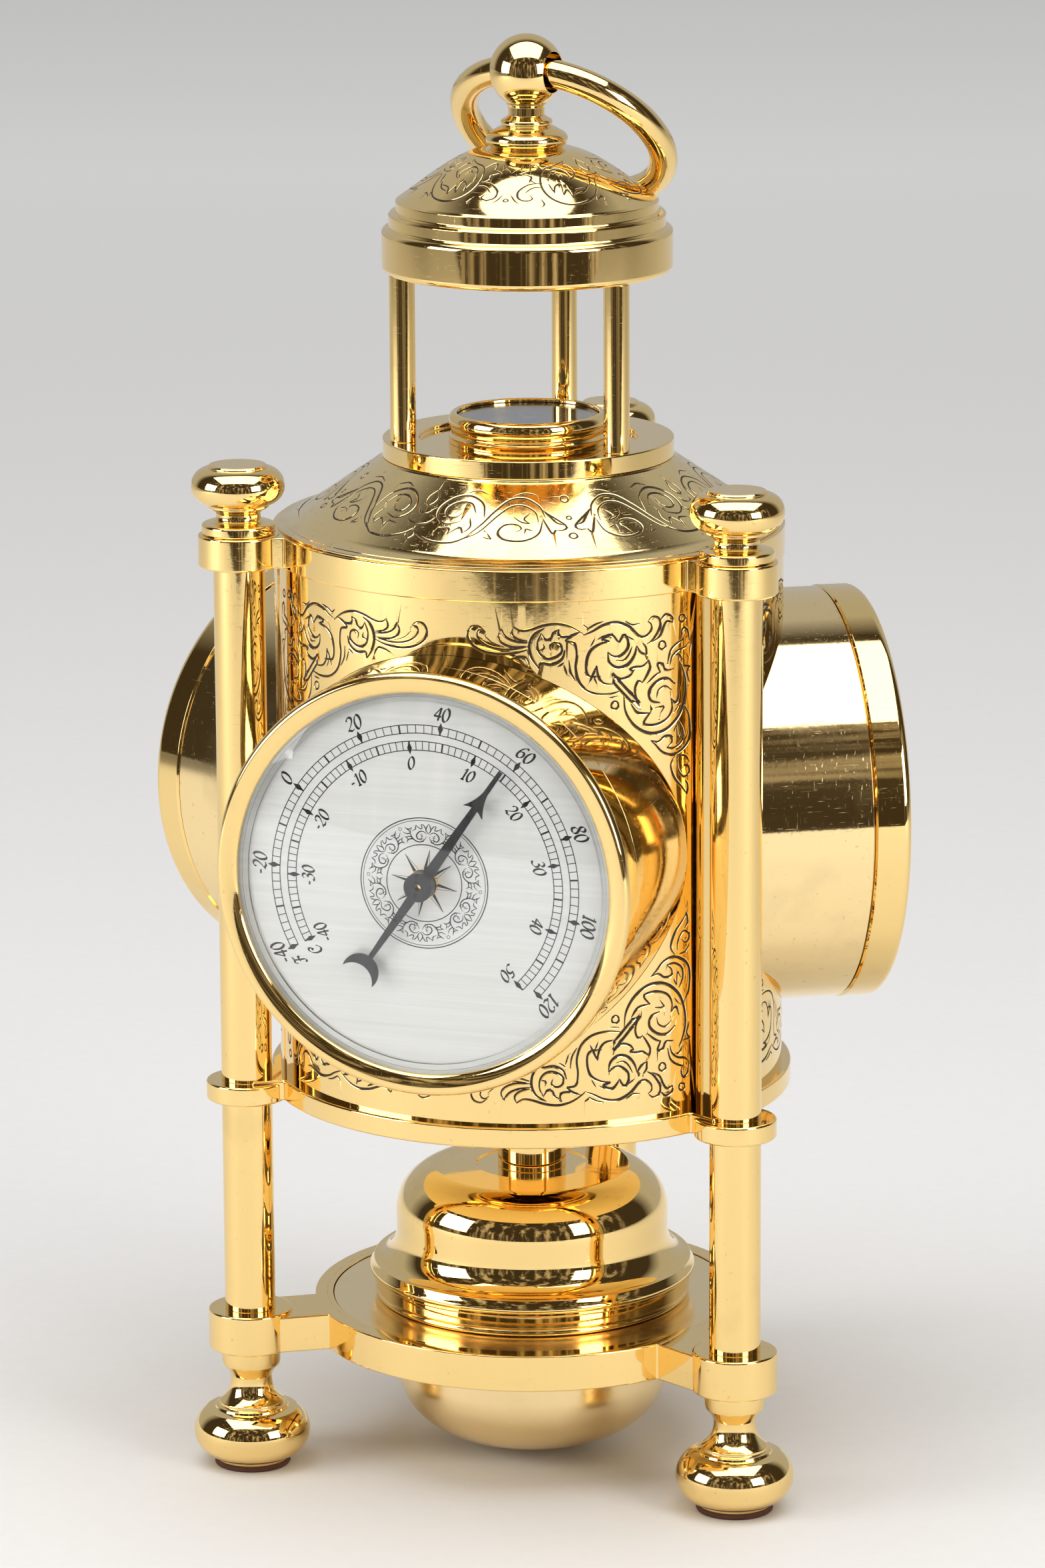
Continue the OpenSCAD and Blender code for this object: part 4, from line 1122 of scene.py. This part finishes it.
def engraved_area(build, patch, place, turns, thickness=None, back_lines=(), mirrors=(1, -1)):
    """Adds copies of an engraved patch, each with its mirror image: (turn, y sign) for each.
    A thickness also gives walls round the outer edges, and a plain back."""
    verts, depth, slope, tris, dark = patch
    loose = loose_edges(tris)
    rim_edge = [e for e in loose if not any(
        abs(verts[e[0], k]) < 1e-5 and abs(verts[e[1], k]) < 1e-5 for k in (0, 1))]
    if thickness:
        rim = sorted({v for e in loose for v in e})
        at = {v: i for i, v in enumerate(rim)}
        points = verts[rim]
        edges = [(at[a], at[b]) for a, b in loose]
        for x in back_lines:
            on = sorted((y, i) for i, (px, y) in enumerate(points) if abs(px - x) < 1e-5)
            edges += [(a[1], b[1]) for a, b in zip(on, on[1:])]
        back, _, back_tris, _, _, _ = delaunay_2d_cdt([Vector(q) for q in points], edges, [], 1, 1e-5)
        back = np.array([(v[0], v[1]) for v in back])
    for turn, sy in turns:
        for sx in mirrors:
            flip = sx * sy < 0
            positions, (out, tx, ty) = place(verts[:, 0] * sx, verts[:, 1] * sy, depth, turn)
            normals = out + tx * (slope[:, 0] * sx)[:, None] + ty * (slope[:, 1] * sy)[:, None]
            faces = tris[:, ::-1] if flip else tris
            build.add(positions, normals, faces.tolist(), dark.astype(int).tolist())
            if not thickness:
                continue
            inner, (out, _, _) = place(back[:, 0] * sx, back[:, 1] * sy,
                                       np.full(len(back), thickness), turn)
            build.add(inner, -out, [list(t) if flip else list(reversed(t)) for t in back_tris])
            for a, b in rim_edge:
                pa, pb = verts[a] * (sx, sy), verts[b] * (sx, sy)
                pair = np.array([pa, pb, pb, pa])
                wall, _ = place(pair[:, 0], pair[:, 1], np.array([0, 0, thickness, thickness]), turn)
                way = np.cross(wall[1] - wall[0], wall[3] - wall[0])
                build.add(wall, [way if flip else -way] * 4, [[0, 1, 2, 3] if flip else [3, 2, 1, 0]])


DARK_SHARE = 0.66          # the part of a groove's width that is darkened


def engraved_patch(engraving, border, lines, inside):
    """Triangles of a flat region with its grooves; inside says which points belong to it."""
    points, edges = [], []
    for line in [np.array(border + border[:1]), *map(np.array, lines), *engraving.guides()]:
        base = len(points)
        points += [Vector(q) for q in line]
        edges += [(base + i, base + i + 1) for i in range(len(line) - 1)]
    verts, _, tris, _, _, _ = delaunay_2d_cdt(points, edges, [], 0, 1e-4)
    verts = np.array([(v[0], v[1]) for v in verts])
    tris = np.array([t for t in tris if len(t) == 3])
    middle = verts[tris].mean(1)
    kept = inside(middle[:, 0], middle[:, 1])
    tris, middle = tris[kept], middle[kept]
    depth, slope, _ = engraving.depth(verts)
    place = engraving.depth(middle)[2]
    return verts, depth, slope, tris, place < DARK_SHARE


def panel_place(x, y, depth, turn):
    """Lays an unrolled panel on its cylinder. x runs round it, and y up from the dial's height."""
    a = math.radians(turn) + x / panel_r
    c, s, none = np.cos(a), np.sin(a), np.zeros(len(a))
    r = panel_r - depth
    return (np.column_stack([r * c, r * s, dial_z + y]),
            (np.column_stack([c, s, none]), np.column_stack([-s, c, none]),
             np.tile((0.0, 0.0, 1.0), (len(a), 1))))


drum_hole = drum_r + 0.06
PANEL_REACH = {1: 58 - DIAL_TURN, -1: 58 + DIAL_TURN}    # angles from the drum to its two edges


def hole_edge(x):
    """Height of the drum's hole above the dial's centre, at a place across the unrolled panel."""
    inner = drum_hole ** 2 - (panel_r * math.sin(x / panel_r)) ** 2
    return math.sqrt(inner) if inner > 0 else 0.0


panel_builds = {side: Build() for side in PANELS}
widest = panel_r * math.asin(drum_hole / panel_r)
for sx, edge_angle in PANEL_REACH.items():
    panel_x = math.radians(edge_angle) * panel_r
    for sign, reach in ((1, body_z1 - dial_z), (-1, dial_z - body_z0)):
        curve = [widest * math.sin(math.radians(a)) for a in range(0, 90, 3)] + [widest]
        border = [(x, hole_edge(x)) for x in curve]
        border += [(panel_x, 0), (panel_x, reach), (0, reach)]
        columns = [math.radians(a) * panel_r for a in np.arange(1.75, edge_angle, 1.75)]
        lines = [[(x, hole_edge(x)), (x, reach)] for x in columns]
        layout = Engraving([(w, [(x, reach - y) for x, y in s]) for w, s in SPANDREL])
        patch = engraved_patch(layout, border, lines, lambda x, y: (
            (x > 0) & (x < panel_x) & (y > 0) & (y < reach)
            & ((panel_r * np.sin(x / panel_r)) ** 2 + y ** 2 > (drum_hole - 0.02) ** 2)))
        for side, turn in PANELS.items():
            engraved_area(panel_builds[side], patch, panel_place, [(turn, sign)], 1.6, columns,
                          (sx,))
for side, build in panel_builds.items():
    stands_for(build.piece(f"engraved_panel_{side}", mirror, patina), f"panel_{side}")

strips = Build()
for angle in PILLARS.values():
    half, steps = 1.86, 4
    outline = [(panel_r - 0.25, 1), (panel_r - 1.85, -1)]
    positions, normals, faces = [], [], []
    for r, way in outline:
        for i in range(steps + 1):
            a = math.radians(angle - half + 2 * half * i / steps)
            for z in (body_z0, body_z1):
                positions.append((r * math.cos(a), r * math.sin(a), z))
                normals.append((way * math.cos(a), way * math.sin(a), 0))
    back = 2 * (steps + 1)
    for i in range(steps):
        k = 2 * i
        faces += [[k, k + 2, k + 3, k + 1], [back + k, back + k + 1, back + k + 3, back + k + 2]]
        faces += [[k, back + k, back + k + 2, k + 2], [k + 1, k + 3, back + k + 3, back + k + 1]]
    last = 2 * steps
    faces += [[0, 1, back + 1, back], [last, back + last, back + last + 1, last + 1]]
    strips.add(positions, normals, faces)
stands_for(strips.piece("joint_strips", mirror), "seam_strips")


def sloped_place(profile, layout_r):
    """A function that lays a layout on a turned surface: y runs along the profile from its foot."""
    profile = np.array(profile)
    run = np.concatenate([[0], np.cumsum(np.linalg.norm(np.diff(profile, axis=0), axis=1))])
    way = np.gradient(profile, run, axis=0)

    def place(x, y, depth, turn):
        a = math.radians(turn) + x / layout_r
        c, s, none = np.cos(a), np.sin(a), np.zeros(len(a))
        r, z, wr, wz = (np.interp(y, run, column) for column in (*profile.T, *way.T))
        size = np.hypot(wr, wz)
        wr, wz = wr / size, wz / size
        out = np.column_stack([wz * c, wz * s, -wr])
        base = np.column_stack([r * c, r * s, z])
        return (base - out * depth[:, None],
                (out, np.column_stack([-s, c, none]) * (layout_r / r)[:, None],
                 np.column_stack([wr * c, wr * s, wz])))

    return place, run[-1]


def engraved_slope(build, strokes, profile, layout_r, centres, rows=0):
    """Engraves a turned surface with mirrored groups of strokes."""
    place, length = sloped_place(profile, layout_r)
    width = math.pi / len(centres) * layout_r
    border = [(0, 0), (width, 0), (width, length), (0, length)]
    count = round(180 / len(centres) / 2.5)
    lines = [[(width * i / count, 0), (width * i / count, length)] for i in range(1, count)]
    lines += [[(0, length * i / rows), (width, length * i / rows)] for i in range(1, rows)]
    patch = engraved_patch(Engraving(strokes), border, lines, lambda x, y: (
        (x > 0) & (x < width) & (y > 0) & (y < length)))
    engraved_area(build, patch, place, [(c, 1) for c in centres])


roof = Build()
cone_foot, cone_head = (42.15, roof_z + 1.73), (27, roof_top - 0.35)
engraved_slope(roof, ROOF_SCROLL, [cone_foot, cone_head], 35, (-106, -16, 74, 164))
roof.turned([cone_head, (26.8, roof_top), (14.2, roof_top), (14.2, roof_top - 1.6),
             (25.4, roof_top - 1.6), (41, roof_z + 1), (41, roof_z), (46.2, roof_z),
             (46.2, roof_z + 0.45), (44.6, roof_z + 0.6)]
            + arc(45.6, roof_z + 6.4, 5.6, 5.8, -100, -128, 10), 144, None, 0.15)
stands_for(roof.piece("engraved_roof", aged, patina), "roof")

hood = Build()
hood_dome = bezier((23.4, 236.4), (19, 239.3), (12.5, 245.2), (7.2, canopy_top), 24)
engraved_slope(hood, CANOPY_SCROLL, hood_dome, 17, (-24, 96, -144), 12)
hood.turned([hood_dome[-1], (rod_hole_r, canopy_top), (rod_hole_r, 243), (8, 241.5), (14, 239),
             (18.5, 235.5), (19.6, 232), (19.6, canopy_z), (25.3, canopy_z)]
            + arc(25.3, canopy_z + 1.2, 1.2, 1.2, -90, 0, 8)
            + arc(25.3, canopy_z + 6.9, 1.2, 1.2, 0, 80, 8)
            + [(25.2, 231.6), (25.2, 233.5), (24.9, 233.9), (24.2, 234.0), (23.9, 234.3),
               (23.9, 236.0), hood_dome[0]], 144, None, 0.18)
stands_for(hood.piece("engraved_canopy", mirror, patina), "canopy")

# ---- stage, light and camera ---------------------------------------------------------------
lit_centre = Vector((0, 0, 0.15))


def softbox(name, azimuth, elevation, distance, width, height, power, tint=(1, 1, 1)):
    """A rectangular lamp that faces the middle of the object. Azimuth 0 is the camera's side."""
    a, e = math.radians(camera_azimuth + azimuth), math.radians(elevation)
    way = Vector((math.sin(a) * math.cos(e), -math.cos(a) * math.cos(e), math.sin(e)))
    lamp = bpy.data.lights.new(name, "AREA")
    lamp.shape = "RECTANGLE"
    lamp.size, lamp.size_y = width, height
    lamp.energy = power
    lamp.color = tint
    thing = bpy.data.objects.new(name, lamp)
    thing.location = lit_centre + way * distance
    thing.rotation_mode = "QUATERNION"
    thing.rotation_quaternion = way.to_track_quat("Z", "Y")
    bpy.context.scene.collection.objects.link(thing)


camera_azimuth, camera_elevation, camera_roll = 17.012, 13.429, -0.300
camera_distance, camera_lens = 1.205995, 149.81
target_z = 0.12724
target_shift = -0.001379

turn, tilt, roll = (math.radians(v) for v in (camera_azimuth, camera_elevation, camera_roll))
right = Vector((math.cos(turn), math.sin(turn), 0))
back = Vector((math.sin(turn) * math.cos(tilt), -math.cos(turn) * math.cos(tilt), math.sin(tilt)))
up = back.cross(right)
target = right * target_shift + Vector((0, 0, target_z))
turned_right = right * math.cos(roll) + up * math.sin(roll)
turned_up = back.cross(turned_right)
camera = bpy.data.objects.new("camera", bpy.data.cameras.new("camera"))
camera.data.lens = camera_lens
camera.data.sensor_width = 36
camera.data.clip_start, camera.data.clip_end = 0.05, 60
camera.matrix_world = Matrix.Translation(target + back * camera_distance) @ Matrix(
    (turned_right, turned_up, back)).transposed().to_4x4()
bpy.context.scene.collection.objects.link(camera)
bpy.context.scene.camera = camera


def away_from_camera(n, vector):
    """How far a place or direction lies behind the object, as the camera looks."""
    node = n.add("ShaderNodeVectorMath", operation="DOT_PRODUCT")
    node.inputs[1].default_value = (-math.sin(turn), math.cos(turn), 0)
    n.link(vector, node.inputs[0])
    return node.outputs["Value"]


floor_n = Nodes("floor_paper")
paper = floor_n.noise(300, 4, 0.6)
behind = away_from_camera(floor_n, floor_n.place)
# Painted light: the floor paper glows by where it lies, not from any lamp. The glow is brightest from
# about 0.1 to 1.7 m behind the object, fades again farther back, and is faint in front of it, standing
# in for the lamps' pool of light on the paper.
painted_floor_glow = floor_n.math("SUBTRACT", floor_n.ramp(behind, 0.10, 1.7, 0.0, 0.36),
                    floor_n.ramp(behind, 1.8, 7.0, 0.0, 0.25))
painted_floor_glow = floor_n.math("ADD", painted_floor_glow, floor_n.ramp(behind, -0.08, -0.30, 0.0, 0.05))
floor_n.set(Base_Color=floor_n.blend(paper, (0.79, 0.788, 0.785), (0.83, 0.828, 0.825)),
            Roughness=0.75, Normal=floor_n.bump(paper, 0.05, 0.0002),
            Emission_Color=(0.96, 0.98, 1.0), Emission_Strength=painted_floor_glow)
table_edge = -835          # the table ends this far in front of the object
floor_points = [(right.x * x + math.sin(turn) * -y, right.y * x + math.cos(turn) * y, 0)
                for x, y in ((-4e3, table_edge), (4e3, table_edge), (9e3, 9e3), (-9e3, 9e3))]
floor = Build().add(floor_points, [(0, 0, 1)] * 4, [[0, 1, 2, 3]]).piece("floor", floor_n.material)

softbox("lamp_right", 46, 15, 1.25, 0.50, 0.60, 5.0)
softbox("lamp_left", -70, 15, 1.25, 0.62, 0.60, 6.2)
softbox("lamp_top", 0, 79, 1.15, 1.7, 1.15, 17.5)

world = bpy.data.worlds.new("studio")
bpy.context.scene.world = world
world.use_nodes = True


class Room(Nodes):
    """The unlit studio round the table, as the gold reflects it."""

    def __init__(self, holder):
        self.tree = holder.node_tree
        self.shader = self.tree.nodes["Background"]
        self.place = self.add("ShaderNodeTexCoord").outputs["Generated"]


room = Room(world)
behind = away_from_camera(room, room.place)
pillars_of_light = room.noise(2.2, 3.0, 0.6, room.stretched((4.5, 4.5, 0.35)))
quiet_side = room.ramp(behind, -0.30, 0.0, 1.0, 0.0)
streaks = room.math("MULTIPLY", room.ramp(pillars_of_light, 0.50, 0.64), quiet_side)
dark = room.blend(streaks, (0.055, 0.042, 0.028), (0.62, 0.54, 0.42))
side = room.blend(room.ramp(behind, 0.35, 0.60), dark, (0.50, 0.51, 0.53))
room.link(side, room.shader.inputs["Color"])
room.shader.inputs["Strength"].default_value = 0.9
bpy.context.scene.view_settings.view_transform = "Standard"
